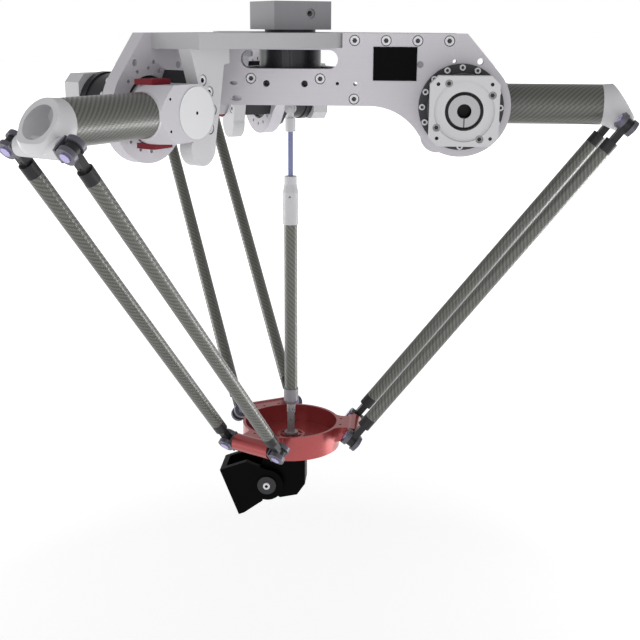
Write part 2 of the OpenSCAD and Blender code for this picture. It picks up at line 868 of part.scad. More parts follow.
module rod_end() {
    inner = rod_radius - rod_wall - fit_gap;
    difference() {
        union() {
            rotate([0, 90, 0])
                cylinder(r = eye_radius, h = tongue_thickness, center = true);
            translate([-tongue_thickness / 2, -tongue_width / 2, -tongue_length - overlap])
                cube([tongue_thickness, tongue_width, tongue_length + overlap]);
            translate([0, 0, -rod_end_length])
                cylinder(r = rod_radius, h = rod_end_length - tongue_length);
            translate([0, 0, -rod_end_length - spigot_inside])
                cylinder(r = inner, h = spigot_inside + overlap);
        }
        rotate([0, 90, 0])
            cylinder(r = pin_radius + fit_gap, h = tongue_thickness + 2 * overlap, center = true);
        translate([0, 0, -tongue_length + 5])
            rotate([0, 90, 0])
                cylinder(r = end_hole_radius, h = tongue_thickness + 2 * overlap, center = true);
    }
}

module rod_ends() {
    down_rod()
        for (side = [-1, 1])
            translate([0, side * rod_spacing / 2, 0]) {
                rod_end();
                translate([0, 0, -rod_length])
                    rotate([0, 180, 0])
                        rod_end();
            }
}

module rods() {
    down_rod()
        for (side = [-1, 1])
            translate([0, side * rod_spacing / 2, -rod_length + rod_end_length])
                difference() {
                    cylinder(r = rod_radius, h = rod_length - 2 * rod_end_length);
                    translate([0, 0, -overlap])
                        cylinder(r = rod_radius - rod_wall, h = rod_length - 2 * rod_end_length + 2 * overlap);
                }
}

// ---- Platform ----

module ear_outline() {
    difference() {
        polygon([[0, 0], [ear_fillet_reach, -ear_fillet_side], [ear_fillet_reach, -ear_web_half],
            [ear_reach, -ear_web_half], [ear_reach, ear_web_half],
            [ear_fillet_reach, ear_web_half], [ear_fillet_reach, ear_fillet_side]]);
        for (side = [-1, 1])
            translate([ear_fillet_reach, side * ear_fillet_side])
                circle(r = ear_fillet + seam);
    }
}

module platform() {
    difference() {
        union() {
            post(ring_radius, rim_depth, ring_bottom);
            for (i = [0:2])
                at_module(i) {
                    translate([0, 0, -rim_depth - ear_thickness])
                        linear_extrude(height = ear_thickness)
                            ear_outline();
                    rod_y([ear_reach, -ear_depth], ear_tube_radius, -ear_half, ear_half);
                }
        }
        difference() {
            post(ring_radius - ring_wall, rim_depth - 4, floor_top);
            post(boss_radius, floor_top - boss_height, floor_top + overlap);
        }
        post(joint_radius + running_gap, floor_top - boss_height - overlap, ring_bottom + overlap);
        for (a = [0, 90, 180, 270])
            rotate([0, 0, a + 10])
                translate([0, 0, -floor_top + boss_height - slot_depth])
                    linear_extrude(height = slot_depth + overlap)
                        arc_slot(70);
        for (i = [0:2])
            at_module(i) {
                rod_y([ear_reach, -ear_depth], ear_bore_radius, -ear_half - overlap, ear_half + overlap);
                for (side = [-1, 1])
                    translate([ring_radius + ear_hole_radius, side * ear_web_half / 2, -rim_depth - 10])
                        cylinder(r = ear_hole_radius, h = 10 + overlap);
            }
    }
}

module arc_slot(span) {
    far = 2 * slot_outer;
    intersection() {
        difference() {
            circle(r = slot_outer);
            circle(r = slot_inner);
        }
        polygon([[0, 0], [far, 0], far * [cos(span), sin(span)]]);
    }
}

// ---- Drive shaft ----

module drive_block() {
    difference() {
        rotate([0, 0, block_turn])
            translate([-block_width / 2, -block_width / 2, block_bottom])
                cube([block_width, block_width, block_top - block_bottom]);
        post(pilot_radius, -block_top - overlap, -block_top + pilot_depth);
        post(well_radius, -block_top - overlap, -block_bottom + overlap);
        rotate([0, 0, block_turn]) {
            for (k = [0:3])
                rotate([0, 0, 45 + 90 * k])
                    translate([motor_circle_radius, 0, block_top - motor_hole_depth])
                        cylinder(r = motor_hole_radius, h = motor_hole_depth + overlap);
            rod_y(access_place, access_radius, -block_width / 2 - overlap, -well_radius + 4);
            rod_y(access_place, access_radius + 3, -block_width / 2 - overlap, -block_width / 2 + 3);
        }
    }
}

module drive_gearbox() {
    difference() {
        union() {
            post(neck_radius, -block_bottom, plate_thickness + overlap);
            post(drive_radius, plate_thickness, drive_bottom);
            for (i = [0:2])
                at_module(i)
                    translate([-lug_half, -plate_offset, -drive_screw_depth - lug_height / 2])
                        cube([2 * lug_half, lug_thickness, lug_height]);
        }
        post(joint_radius + running_gap, drive_bottom - 20, drive_bottom + overlap);
        for (i = [0:2])
            at_module(i)
                for (p = drive_screws)
                    rod_y(p, screw_radius + fit_gap, -plate_offset - overlap, -plate_offset + screw_length);
        for (side = [-1, 1])
            translate([side * (groove_half + rib_half) / 2 - (groove_half - rib_half) / 2, -drive_radius - overlap,
                -drive_screw_depth + lug_height / 2])
                cube([groove_half - rib_half, groove_depth + overlap,
                    drive_screw_depth - lug_height / 2 - plate_thickness]);
    }
}

module upper_joint() {
    nut_radius = nut_width / sqrt(3);
    post(joint_radius, drive_bottom - 18, output_depth + overlap);
    post(eye_outer_radius, output_depth - 3, output_depth + 2);
    for (side = [-1, 1])
        translate([-6, side * 7 - 1.5, -eye_depth - 5])
            cube([12, 3, eye_depth + 5 - output_depth - 1]);
    rod_y([0, -eye_depth], 3, -9.5, 9.5);
    rod_y([0, -eye_depth], eye_outer_radius, -4.5, 4.5);
    post(5, eye_depth, nut_top + overlap);
    difference() {
        translate([0, 0, -nut_bottom])
            cylinder(r = nut_radius, h = nut_bottom - nut_top, $fn = 6);
        post(slide_rod_radius + fit_gap, nut_top + 4, nut_bottom + overlap);
    }
}

module slide_rod() {
    post(slide_rod_radius, nut_top + 5, rod_tip);
}

module sleeve() {
    difference() {
        union() {
            post(sleeve_neck_radius, sleeve_top, cone_top + overlap);
            translate([0, 0, -cone_bottom])
                cylinder(r1 = sleeve_radius, r2 = sleeve_neck_radius, h = cone_bottom - cone_top);
            post(sleeve_radius, cone_bottom - overlap / 10, tube_top);
            post(spigot_radius, tube_top - overlap, tube_top + sleeve_spigot);
        }
        post(slide_rod_radius + running_gap, sleeve_top - overlap, tube_top + sleeve_spigot + overlap);
        rod_y([0, -cone_bottom - 6], set_screw_radius, -sleeve_radius - overlap, -sleeve_radius + 3);
    }
}

module shaft_tube() {
    difference() {
        post(shaft_tube_radius, tube_top, tube_bottom);
        post(shaft_tube_radius - shaft_tube_wall, tube_top - overlap, tube_bottom + overlap);
    }
}

module coupling() {
    taper = 6;
    post(spigot_radius, tube_bottom - sleeve_spigot, tube_bottom + overlap);
    post(coupling_radius, tube_bottom, coupling_bottom - taper);
    translate([0, 0, -coupling_bottom])
        cylinder(r1 = joint_neck_radius + 1, r2 = coupling_radius, h = taper);
}

module lower_joint() {
    block_end = floor_top - boss_height - 4;
    difference() {
        union() {
            post(joint_neck_radius, coupling_bottom, coupling_bottom + 14);
            translate([-5.5, -joint_neck_radius, -block_end - 2])
                cube([11, 2 * joint_neck_radius, block_end - coupling_bottom - 10]);
            post(joint_radius, block_end, ring_bottom + housing_flange_thickness);
            post(boss_radius / 2, block_end, block_end + 3);
        }
        rod_y([0, -coupling_bottom - 25.5], 2, -joint_neck_radius - overlap, joint_neck_radius + overlap);
        for (side = [-1, 1])
            rod_y([side * 3, -coupling_bottom - 8], 1.2, -joint_neck_radius - overlap, -joint_neck_radius + 4);
    }
}

// ---- Tilting tool bracket ----

tilt_axis = [-tilt_offset, -tilt_depth];

module tilt_housing() {
    low = tilt_depth + tilt_hub_radius;
    difference() {
        union() {
            post(housing_flange_radius, ring_bottom, ring_bottom + housing_flange_thickness);
            slab(-housing_half, housing_half) {
                polygon([[-tilt_offset - tilt_hub_radius + 6, -tilt_depth], [-tilt_offset, -ring_bottom - overlap],
                    [housing_right, -ring_bottom - overlap], [housing_right, -low + housing_chamfer[1] + 6],
                    [housing_right - housing_chamfer[0], -low + 6], [-tilt_offset + 20, -low]]);
                translate(tilt_axis)
                    circle(r = tilt_hub_radius - 4);
            }
        }
        post(joint_radius + running_gap, ring_bottom - overlap, ring_bottom + housing_flange_thickness + 6);
        rod_y(tilt_axis, axle_radius + running_gap, -housing_half - overlap, housing_half + overlap);
    }
}

// Puts children at the tilt axis, with local -Z towards the tool face
module at_tilt() {
    translate([-tilt_offset, 0, -tilt_depth])
        rotate([0, tilt_angle, 0])
            children();
}

module fork_outline() {
    low = tool_face - tool_plate_thickness;
    polygon([[-tool_low, -low - overlap], [-tool_high, -low - overlap], [-tool_high + 0.7, -fork_step],
        [-tilt_hub_radius * 0.9, tilt_hub_radius * 0.4], [0, 0], [tilt_hub_radius * 0.9, -fork_step]]);
    circle(r = tilt_hub_radius);
}

module tool_bracket() {
    at_tilt()
        difference() {
            union() {
                slab(fork_inner, fork_outer)
                    fork_outline();
                slab(-fork_outer, -fork_inner)
                    fork_outline();
                translate([-tool_high, -fork_outer, -tool_face])
                    cube([tool_high - tool_low, 2 * fork_outer, tool_plate_thickness]);
            }
            rod_y([0, 0], axle_radius + fit_gap, -fork_outer - overlap, fork_outer + overlap);
            translate([-tool_middle, 0, -tool_face - overlap]) {
                cylinder(r = tool_pilot_radius, h = tool_pilot_depth + overlap);
                for (k = [0:3])
                    rotate([0, 0, 45 + 90 * k])
                        translate([tool_circle_radius, 0, 0])
                            cylinder(r = tool_hole_radius, h = tool_plate_thickness + 2 * overlap);
            }
        }
}

module tilt_axle() {
    at_tilt() {
        rod_y([0, 0], axle_radius, -fork_outer - overlap, fork_outer + overlap);
        for (side = [-1, 1])
            mirror([0, side < 0 ? 1 : 0, 0]) {
                rod_y([0, 0], axle_disc_radius, fork_outer, fork_outer + axle_disc_thickness);
                difference() {
                    rod_y([0, 0], axle_screw_radius, fork_outer, fork_outer + 2 * axle_disc_thickness);
                    rod_y([0, 0], axle_screw_radius * 0.45, fork_outer + axle_disc_thickness,
                        fork_outer + 2 * axle_disc_thickness + overlap);
                }
            }
    }
}

color(lilac_metal) top_plate();
color(steel) plate_screws();
color(black_part) name_plate();
color(dark_metal) stop_blocks();
color(steel) gearbox_screws();
color(steel) adapter_screws();
color(lilac_metal) at_module(0) side_plate();  // side_plate_1
color(lilac_metal) at_module(1) side_plate();  // side_plate_2
color(lilac_metal) at_module(2) side_plate();  // side_plate_3
color(white_metal) at_module(0) stop_bracket();  // stop_bracket_1
color(white_metal) at_module(1) stop_bracket();  // stop_bracket_2
color(white_metal) at_module(2) stop_bracket();  // stop_bracket_3
color(dark_metal) at_module(0) gearbox();  // gearbox_1
color(dark_metal) at_module(1) gearbox();  // gearbox_2
color(dark_metal) at_module(2) gearbox();  // gearbox_3
color(white_metal) at_module(0) motor_adapter();  // motor_adapter_1
color(white_metal) at_module(1) motor_adapter();  // motor_adapter_2
color(white_metal) at_module(2) motor_adapter();  // motor_adapter_3
color(steel) at_module(0) clamp_hub();  // clamp_hub_1
color(steel) at_module(1) clamp_hub();  // clamp_hub_2
color(steel) at_module(2) clamp_hub();  // clamp_hub_3
color(white_metal) at_module(0) arm_hub();  // arm_hub_1
color(white_metal) at_module(1) arm_hub();  // arm_hub_2
color(white_metal) at_module(2) arm_hub();  // arm_hub_3
color(white_metal) at_module(0) hub_cover();  // hub_cover_1
color(white_metal) at_module(1) hub_cover();  // hub_cover_2
color(white_metal) at_module(2) hub_cover();  // hub_cover_3
color(pad_red) at_module(0) stop_pads();  // stop_pads_1
color(pad_red) at_module(1) stop_pads();  // stop_pads_2
color(pad_red) at_module(2) stop_pads();  // stop_pads_3
color(carbon) at_module(0) arm_tube();  // arm_tube_1
color(carbon) at_module(1) arm_tube();  // arm_tube_2
color(carbon) at_module(2) arm_tube();  // arm_tube_3
color(white_metal) at_module(0) elbow_housing();  // elbow_housing_1
color(white_metal) at_module(1) elbow_housing();  // elbow_housing_2
color(white_metal) at_module(2) elbow_housing();  // elbow_housing_3
color(grey_metal) at_module(0) yoke_shafts();  // yoke_shafts_1
color(grey_metal) at_module(1) yoke_shafts();  // yoke_shafts_2
color(grey_metal) at_module(2) yoke_shafts();  // yoke_shafts_3
color(carbon) at_module(0) rods();  // rods_1
color(carbon) at_module(1) rods();  // rods_2
color(carbon) at_module(2) rods();  // rods_3
color(black_part) at_module(0) rod_ends();  // rod_ends_1
color(black_part) at_module(1) rod_ends();  // rod_ends_2
color(black_part) at_module(2) rod_ends();  // rod_ends_3
color(violet_metal) at_module(0) rod_pins();  // rod_pins_1
color(violet_metal) at_module(1) rod_pins();  // rod_pins_2
color(violet_metal) at_module(2) rod_pins();  // rod_pins_3
color(red_part) platform();
color(grey_metal) drive_block();
color(dark_metal) drive_gearbox();
color(white_metal) upper_joint();
color(violet_metal) slide_rod();
color(white_metal) sleeve();
color(carbon) shaft_tube();
color(grey_metal) coupling();
color(steel) lower_joint();
color(black_part) tilt_housing();
color(black_part) tool_bracket();
color(dark_metal) tilt_axle();
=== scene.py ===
"""Builds the looks of a ceiling-hung delta robot round its solids: finishes, carbon tubes, screws and stage.

Lengths are in metres and +Z is up. The robot hangs from the top face of its top plate, at Z = 0.
"""
import json
import math

import bmesh
import bpy
import numpy as np
from bpy.props import FloatProperty, FloatVectorProperty, IntProperty, PointerProperty
from bpy.types import Operator, Panel, PropertyGroup
from mathutils import Matrix, Vector


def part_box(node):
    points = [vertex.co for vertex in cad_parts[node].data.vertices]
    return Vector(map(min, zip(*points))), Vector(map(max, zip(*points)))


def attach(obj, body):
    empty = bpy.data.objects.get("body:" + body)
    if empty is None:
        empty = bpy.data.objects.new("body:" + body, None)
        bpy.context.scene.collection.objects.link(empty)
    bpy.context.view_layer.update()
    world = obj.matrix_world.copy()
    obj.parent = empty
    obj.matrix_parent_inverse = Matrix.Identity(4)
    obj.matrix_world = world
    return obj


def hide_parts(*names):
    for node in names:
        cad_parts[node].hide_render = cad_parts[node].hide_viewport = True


bl_info = {
    "name": "Delta Robot",
    "version": (1, 0, 0),
    "blender": (4, 5, 0),
    "location": "3D View > Sidebar > Delta Robot",
    "description": "Finishes, weave, screws and stage for a ceiling-hung delta robot",
    "category": "Object",
}

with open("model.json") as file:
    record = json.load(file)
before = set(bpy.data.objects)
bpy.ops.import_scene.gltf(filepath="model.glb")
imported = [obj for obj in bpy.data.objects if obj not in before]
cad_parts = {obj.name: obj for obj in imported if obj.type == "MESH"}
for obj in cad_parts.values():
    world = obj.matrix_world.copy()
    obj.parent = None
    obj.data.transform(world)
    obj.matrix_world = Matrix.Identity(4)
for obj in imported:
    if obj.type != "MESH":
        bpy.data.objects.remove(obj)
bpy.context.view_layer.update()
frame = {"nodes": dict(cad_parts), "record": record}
RECORD = frame["record"]
MM = 0.001

# The three modules, and the angle that each one's arm points at, in degrees from +X.
MODULE_TURNS = {1: 0, 2: 240, 3: 120}

# The node groups and the materials by name. The finishes operator fills both.
GROUPS = {}
FINISHES = {}

# Black painted into bores, holes and sockets as the shade inside them.
PAINTED_SHADE_BLACK = (0.004, 0.004, 0.004, 1.0)
# Fineness of the machining lines in each direction: low along the lines and high across them.
LINES_ALONG_X = (30.0, 900.0, 900.0)
LINES_ALONG_Z = (900.0, 900.0, 30.0)
# Fineness of the fibres' streaks, counted in tows: along a tow and across it.
STREAK_ALONG = 0.7
STREAK_ACROSS = 14.0
# Most of a noise lies between these two values.
NOISE_LOW = 0.3
NOISE_HIGH = 0.7
# A recoloured spot reaches past its bore by this much, so that the bore's wall lies inside it.
SPOT_MARGIN = 0.02 * MM

# Faces round a small turned piece.
SMALL_SEGMENTS = 24
# Rows and columns of points in each skin of an elbow.
ELBOW_ROWS = 49
ELBOW_COLUMNS = 97
# Share of an elbow's rows that lie on the slope behind its lowest point.
SLOPE_SHARE = 0.45
# Share of the way to the elbow's shaft over which the elbow widens.
WIDENING_SHARE = 0.8
# How far the elbow's lower corners fill out: 0 leaves an ellipse and 1 makes square corners.
CORNER_FILL = 0.45

# The first rows of a screw's section, which make its socket.
SOCKET_ROWS = 2
# Depth of a screw's socket, as a share of its head's height.
SOCKET_DEPTH = 0.55
# Radius of the bevel round a screw's socket, as a multiple of half its key.
SOCKET_RIM = 1.25
# Two lengths on a screw that differ by less than these count as the same.
SAME_PLACE = 0.05 * MM
SAME_SIZE = 0.2 * MM

# Reach of the floor from its middle, and where its glow starts to rise and where it is full, in metres.
FLOOR_REACH = 30.0
GLOW_START = 0.8
GLOW_END = 3.0
# Heights on the unit sphere between which the room's light changes from its lower to its upper strength.
ROOM_LOW_END = -0.2
ROOM_HIGH_START = 0.5
# The point that the lamps face, and the camera sensor's width in millimetres.
LAMP_TARGET = (0.0, 0.0, -0.3)
SENSOR_WIDTH = 36


def linear(red, green, blue):
    """The scene-linear colour of an 8-bit display colour: each channel is unfolded from the sRGB curve."""
    channels = np.array([red, green, blue]) / 255
    curve = np.where(channels <= 0.04045, channels / 12.92, ((channels + 0.055) / 1.055) ** 2.4)
    return tuple(float(c) for c in curve)


def colour(name, description, red, green, blue):
    """A colour property with its default written as an 8-bit display colour."""
    return FloatVectorProperty(name=name, description=description, default=linear(red, green, blue),
                               size=3, subtype="COLOR", min=0, max=1)


def length(name, description, millimetres):
    """A length property with its default written in millimetres."""
    return FloatProperty(name=name, description=description, default=millimetres * MM, min=0, unit="LENGTH",
                         precision=4)


class RobotColours(PropertyGroup):
    """The colours of the robot's finishes"""
    plate: colour("Plates", "Machined aluminium of the side plates", 192, 189, 195)
    top: colour("Top plate", "Machined aluminium of the top plate", 172, 171, 173)
    casting: colour("Castings", "Paint of the elbows, brackets and adapters", 188, 188, 190)
    hub: colour("Hubs", "Paint of the arms' hub castings", 184, 182, 187)
    cover: colour("Hub covers", "Paint of the hub covers", 207, 207, 209)
    gearbox: colour("Gearboxes", "Dark finish of the gearboxes", 50, 50, 53)
    platform: colour("Platform", "Anodising of the ring platform", 162, 66, 67)
    pad: colour("Stop pads", "Rubber of the stop pads", 108, 14, 28)
    # The two fibre colours are painted sheen: one set of tows is painted lighter, as if it caught the light.
    fibre_dark: colour("Fibre, dark", "Carbon tows that lie across the light", 74, 75, 70)
    fibre_light: colour("Fibre, light", "Carbon tows that catch the light", 100, 102, 95)
    rod_end: colour("Rod ends", "Black anodising of the rod ends", 38, 38, 40)
    black: colour("Tool bracket", "Black anodising of the tool bracket and its housing", 5, 5, 6)
    yoke: colour("Yokes", "Grey metal of the yoke shafts", 92, 91, 100)
    pin: colour("Pins", "Bright heads of the pins", 170, 162, 205)
    violet: colour("Sliding rod", "Violet anodising of the sliding rod", 108, 112, 142)
    block: colour("Drive block", "Grey metal of the centre drive's block", 138, 137, 141)
    steel: colour("Steel", "Clamp hubs, joints and couplings", 158, 157, 159)
    screw: colour("Screws", "Heads of the frame and gearbox screws", 206, 206, 210)
    # The sunk screws are the screw steel painted darker, as painted shade of the bores they sit in.
    sunk_screw: colour("Sunk screws", "Heads of the adapter screws in their bores", 138, 137, 138)
    label: colour("Name plate", "Bare black name plate", 8, 8, 9)


class RobotSizes(PropertyGroup):
    """The sizes that the finishes and the small pieces are made from"""
    tow: length("Tow width", "Width of a tow in the carbon tubes' weave", 1.9)
    rod_tow: length("Rod tow width", "Width of a tow in the weave of the rods", 1.9)
    arm_tube_wall: length("Arm tube wall", "Wall of the arms' carbon tubes", 3)
    rod_wall: length("Rod wall", "Wall of the rods and of the drive shaft's tube", 2)
    edge: length("Edge chamfer", "Chamfer of the screws' edges", 0.4)
    plate_screw_key: length("Frame screw key", "Width across flats of a frame screw's socket", 6)
    gear_screw_key: length("Gearbox screw key", "Width across flats of a gearbox screw's socket", 4)
    adapter_screw_key: length("Adapter screw key", "Width across flats of an adapter screw's socket", 5)
    shaft_tube_radius: length("Shaft tube radius", "Radius of the tube that holds an elbow's shaft", 13)
    shaft_bore: length("Shaft bore", "Radius of the bore for an elbow's shaft", 5.05)
    elbow_shaft_run: length("Elbow shaft run", "Distance from the arm tube's end to the elbow's shaft", 29.7)
    elbow_wall: length("Elbow wall", "Wall of the elbow's shell", 6.5)
    brow_wall: length("Brow wall", "Width of the mouth's rim at its top", 9)
    lip_wall: length("Lip wall", "Width of the mouth's rim at its lip", 5)
    hollow_depth: length("Hollow depth", "Depth of the elbow's hollow behind the arm tube's end", 24)
    floor_gap: length("Floor gap", "Gap between the hollow's floor and the shaft's tube", 0.5)
    boss_length: length("Boss length", "Part of the shaft's tube that stands out of the elbow's side", 3.5)
    boss_edge: length("Boss edge", "Chamfer of the ends of the shaft's tube", 1)
    mouth_run: length("Mouth run", "Distance from the arm tube's end to the top of the mouth", 15)
    brow_rise: length("Brow rise", "Height of the mouth's top above the arm tube", 1.2)
    lip_drop: length("Lip drop", "Drop of the mouth's lip below the arm tube's line", 19)
    lip_set_back: length("Lip set-back", "Distance of the mouth's lip behind the elbow's full reach", 0.6)
    keel_set_back: length("Keel set-back", "Distance of the elbow's lowest point behind its shaft", 3)
    widening_drop: length("Widening drop", "Drop below the arm's line where the elbow starts to widen", 2)
    widening_depth: length("Widening depth", "Drop over which the elbow widens to its full width", 16)
    motor_bore: length("Motor bore", "Radius of a clamp hub's bore", 9.5)
    cover_bore: length("Cover bore", "Radius of the hole in the middle of a hub cover", 2.2)
    hub_hole: length("Hub hole", "Radius of the small holes in a hub's face", 1.8)
    hub_hole_reach: length("Hub hole reach", "Distance from a hub's axis to its small holes", 49.3)
    hub_hole_height: length("Hub hole height", "Height of a hub's small holes from its middle line", 20)
    plug_radius: length("Plug radius", "Radius of a side plate's plug", 4.6)
    plug_reach: length("Plug reach", "Distance of a side plate's plug from the centre line", 188.8)
    plug_depth: length("Plug depth", "Depth of a side plate's plug below the top face", 42)
    axle_screw: length("Axle screw", "Radius of the screw in the tilt axle's disc", 5.6)
    axle_socket: length("Axle socket", "Radius of the socket in that screw", 2.5)
    segments: IntProperty(name="Segments", description="Faces round a tube", default=96, min=24, max=256)


class StageSettings(PropertyGroup):
    """The camera, the lamps, the light from all round and the floor"""
    camera_place: FloatVectorProperty(name="Camera", description="Place of the camera",
                                      default=(0.1558, -1.5987, 0.0120), size=3,
                                      subtype="TRANSLATION", unit="LENGTH")
    camera_turn: FloatProperty(name="Camera turn", description="Angle of the view to the right of +Y",
                               default=math.radians(-3.94), subtype="ANGLE", unit="ROTATION")
    camera_tip: FloatProperty(name="Camera tip", description="Angle of the view below the horizon",
                              default=math.radians(15.565), subtype="ANGLE", unit="ROTATION")
    camera_roll: FloatProperty(name="Camera roll", description="Roll of the camera about its view",
                               default=math.radians(0.282), subtype="ANGLE", unit="ROTATION")
    camera_lens: FloatProperty(name="Lens", description="Focal length on a 36 mm sensor, in millimetres",
                               default=59.8, min=10, max=300)
    floor_drop: length("Floor drop", "Depth of the floor below the top face", 1150)
    floor_glow: FloatProperty(name="Floor glow", description="Light that the floor gives below the robot",
                              default=0.4, min=0, max=1)
    key_power: FloatProperty(name="Key lamp", description="Power of the lamp above the camera",
                             default=8.5, min=0, unit="POWER")
    right_power: FloatProperty(name="Right lamp", description="Power of the lamp low on the right",
                               default=16, min=0, unit="POWER")
    left_power: FloatProperty(name="Left lamp", description="Power of the lamp on the left",
                              default=11, min=0, unit="POWER")
    room_high: FloatProperty(name="Light from above", description="Strength of the light overhead",
                             default=0.5, min=0, max=2)
    room_low: FloatProperty(name="Light from below", description="Strength of the light below the horizon",
                            default=0.95, min=0, max=2)


# ---- meshes

def grid_quads(rows, columns, first):
    """The corner numbers of the quads of a grid of rows by columns, numbered from first, row after row."""
    start = np.arange(rows - 1)[:, None] * columns + np.arange(columns - 1)[None, :] + first
    return np.stack([start, start + 1, start + columns + 1, start + columns], -1).reshape(-1, 4)


def build_mesh(name, patches, sharp_angle=35):
    """Makes one mesh from grid patches, each a pair of points (rows, columns, 3) and map (rows, columns, 2).

    Points that fall together are merged, which closes the seams and the poles, while each face keeps its
    own map corners. Edges sharper than sharp_angle stay sharp."""
    points, maps, quads, first = [], [], [], 0
    for patch, chart in patches:
        rows, columns = patch.shape[:2]
        quads.append(grid_quads(rows, columns, first))
        points.append(patch.reshape(-1, 3))
        maps.append(chart.reshape(-1, 2))
        first += rows * columns
    points, maps, quads = np.concatenate(points), np.concatenate(maps), np.concatenate(quads)
    mesh = bpy.data.meshes.new(name)
    mesh.vertices.add(len(points))
    mesh.vertices.foreach_set("co", points.astype(np.float32).ravel())
    mesh.loops.add(quads.size)
    mesh.loops.foreach_set("vertex_index", quads.ravel().astype(np.int32))
    mesh.polygons.add(len(quads))
    mesh.polygons.foreach_set("loop_start", np.arange(0, quads.size, 4, dtype=np.int32))
    mesh.polygons.foreach_set("use_smooth", np.ones(len(quads), bool))
    mesh.uv_layers.new(name="weave").data.foreach_set("uv", maps[quads.ravel()].astype(np.float32).ravel())
    mesh.update(calc_edges=True)
    shape = bmesh.new()
    shape.from_mesh(mesh)
    bmesh.ops.remove_doubles(shape, verts=shape.verts, dist=2e-6)
    shape.to_mesh(mesh)
    shape.free()
    mesh.set_sharp_from_angle(angle=math.radians(sharp_angle))
    return mesh


def add_piece(name, mesh, body, material, nodes):
    """Links a mesh as a piece that rides on a body, takes a finish and stands for solids."""
    piece = bpy.data.objects.new(name, mesh)
    bpy.context.scene.collection.objects.link(piece)
    mesh.materials.append(material)
    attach(piece, body)
    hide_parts(*nodes)


def across(direction):
    """Two unit vectors that stand square on a direction and on each other."""
    direction = np.asarray(direction, float)
    side = np.cross(direction, [0, 0, 1.0] if abs(direction[2]) < 0.9 else [0, 1.0, 0])
    side /= np.linalg.norm(side)
    return side, np.cross(direction, side)


def turned_patch(start, direction, profile, segments, bend=None):
    """A profile of (radius, distance) pairs turned about the line from start along direction.

    The point at profile place i and angle a is start + distance_i * direction + radius_i * (cos a * side +
    sin a * up). bend(i, a), if given, multiplies radius_i. The map runs with the length along the
    profile and with the arc at the widest radius, both in metres."""
    profile = np.asarray(profile, float)
    side, up = across(direction)
    angle = np.linspace(0, 2 * math.pi, segments + 1)
    radius = np.repeat(profile[:, :1], segments + 1, 1)
    if bend is not None:
        radius = radius * bend(np.arange(len(profile))[:, None], angle[None, :])
    ring = np.cos(angle)[:, None] * side + np.sin(angle)[:, None] * up
    points = np.asarray(start, float) + profile[:, 1, None, None] * np.asarray(direction, float)
    points = points + radius[..., None] * ring[None]
    run = np.concatenate([[0], np.cumsum(np.hypot(*np.diff(profile, axis=0).T))])
    chart = np.stack(np.broadcast_arrays(run[:, None], angle[None] * profile[:, 0].max()), -1)
    return points, chart


def tube_profile(reach, radius, wall):
    """The closed section of a tube: its outside, its end, its inside and back, as (radius, distance)."""
    inner = radius - wall
    return [(radius, 0), (radius, reach), (inner, reach), (inner, 0), (radius, 0)]


def module_axes(index):
    """The outward, sideways and upward unit vectors of a module."""
    angle = math.radians(MODULE_TURNS[index])
    return (np.array([math.cos(angle), math.sin(angle), 0]),
            np.array([-math.sin(angle), math.cos(angle), 0]),
            np.array([0, 0, 1.0]))


def corners_of(node):
    """The places of a solid's corners, one row each."""
    mesh = frame["nodes"][node].data
    places = np.empty(len(mesh.vertices) * 3, np.float32)
    mesh.vertices.foreach_get("co", places)
    return places.reshape(-1, 3).astype(float)


def extents(node, axes):
    """The lowest and the highest place of a solid along each of three axes."""
    places = corners_of(node) @ np.stack(axes, 1)
    return places.min(0), places.max(0)


def on_middle_line(axes, low, high, forward):
    """The point at a forward place on the middle line of a solid with the given extents along the axes."""
    out, side, up = axes
    return out * forward + side * (low[1] + high[1]) / 2 + up * (low[2] + high[2]) / 2


# ---- shader nodes

def add_node(tree, kind, inputs=None, **settings):
    """Adds a shader node, with its settings, and with each input given as a value or as a socket to link."""
    made = tree.nodes.new(kind)
    for key, value in settings.items():
        setattr(made, key, value)
    for key, value in (inputs or {}).items():
        if isinstance(value, bpy.types.NodeSocket):
            tree.links.new(value, made.inputs[key])
        else:
            made.inputs[key].default_value = value
    return made


def math_node(tree, operation, first, second=0.0):
    """The result socket of a Math node."""
    return add_node(tree, "ShaderNodeMath", {0: first, 1: second}, operation=operation).outputs[0]


def new_group(name, inputs, outputs):
    """An empty shader node group with named sockets, returned with its input node and its output node."""
    group = bpy.data.node_groups.new(name, "ShaderNodeTree")
    for label, kind, default in inputs:
        socket = group.interface.new_socket(label, in_out="INPUT", socket_type=kind)
        if default is not None:
            socket.default_value = default
    for label, kind in outputs:
        group.interface.new_socket(label, in_out="OUTPUT", socket_type=kind)
    return group, group.nodes.new("NodeGroupInput"), group.nodes.new("NodeGroupOutput")


def grain_group():
    """Fine grain of paint, anodising or rubber: fractal noise of a given fineness, as a share of 0 to 1,
    and a broader cloud of noise for slow changes of tone."""
    group, into, out = new_group("Surface grain",
                                 [("Vector", "NodeSocketVector", None),
                                  ("Fineness", "NodeSocketFloat", 900.0),
                                  ("Cloud", "NodeSocketFloat", 9.0)],
                                 [("Grain", "NodeSocketFloat"),
                                  ("Cloud", "NodeSocketFloat")])
    place = into.outputs["Vector"]
    fine = add_node(group, "ShaderNodeTexNoise",
                    {"Vector": place, "Scale": into.outputs["Fineness"], "Detail": 3.0})
    broad = add_node(group, "ShaderNodeTexNoise",
                     {"Vector": place, "Scale": into.outputs["Cloud"], "Detail": 2.0})
    group.links.new(fine.outputs["Fac"], out.inputs["Grain"])
    group.links.new(broad.outputs["Fac"], out.inputs["Cloud"])
    return group


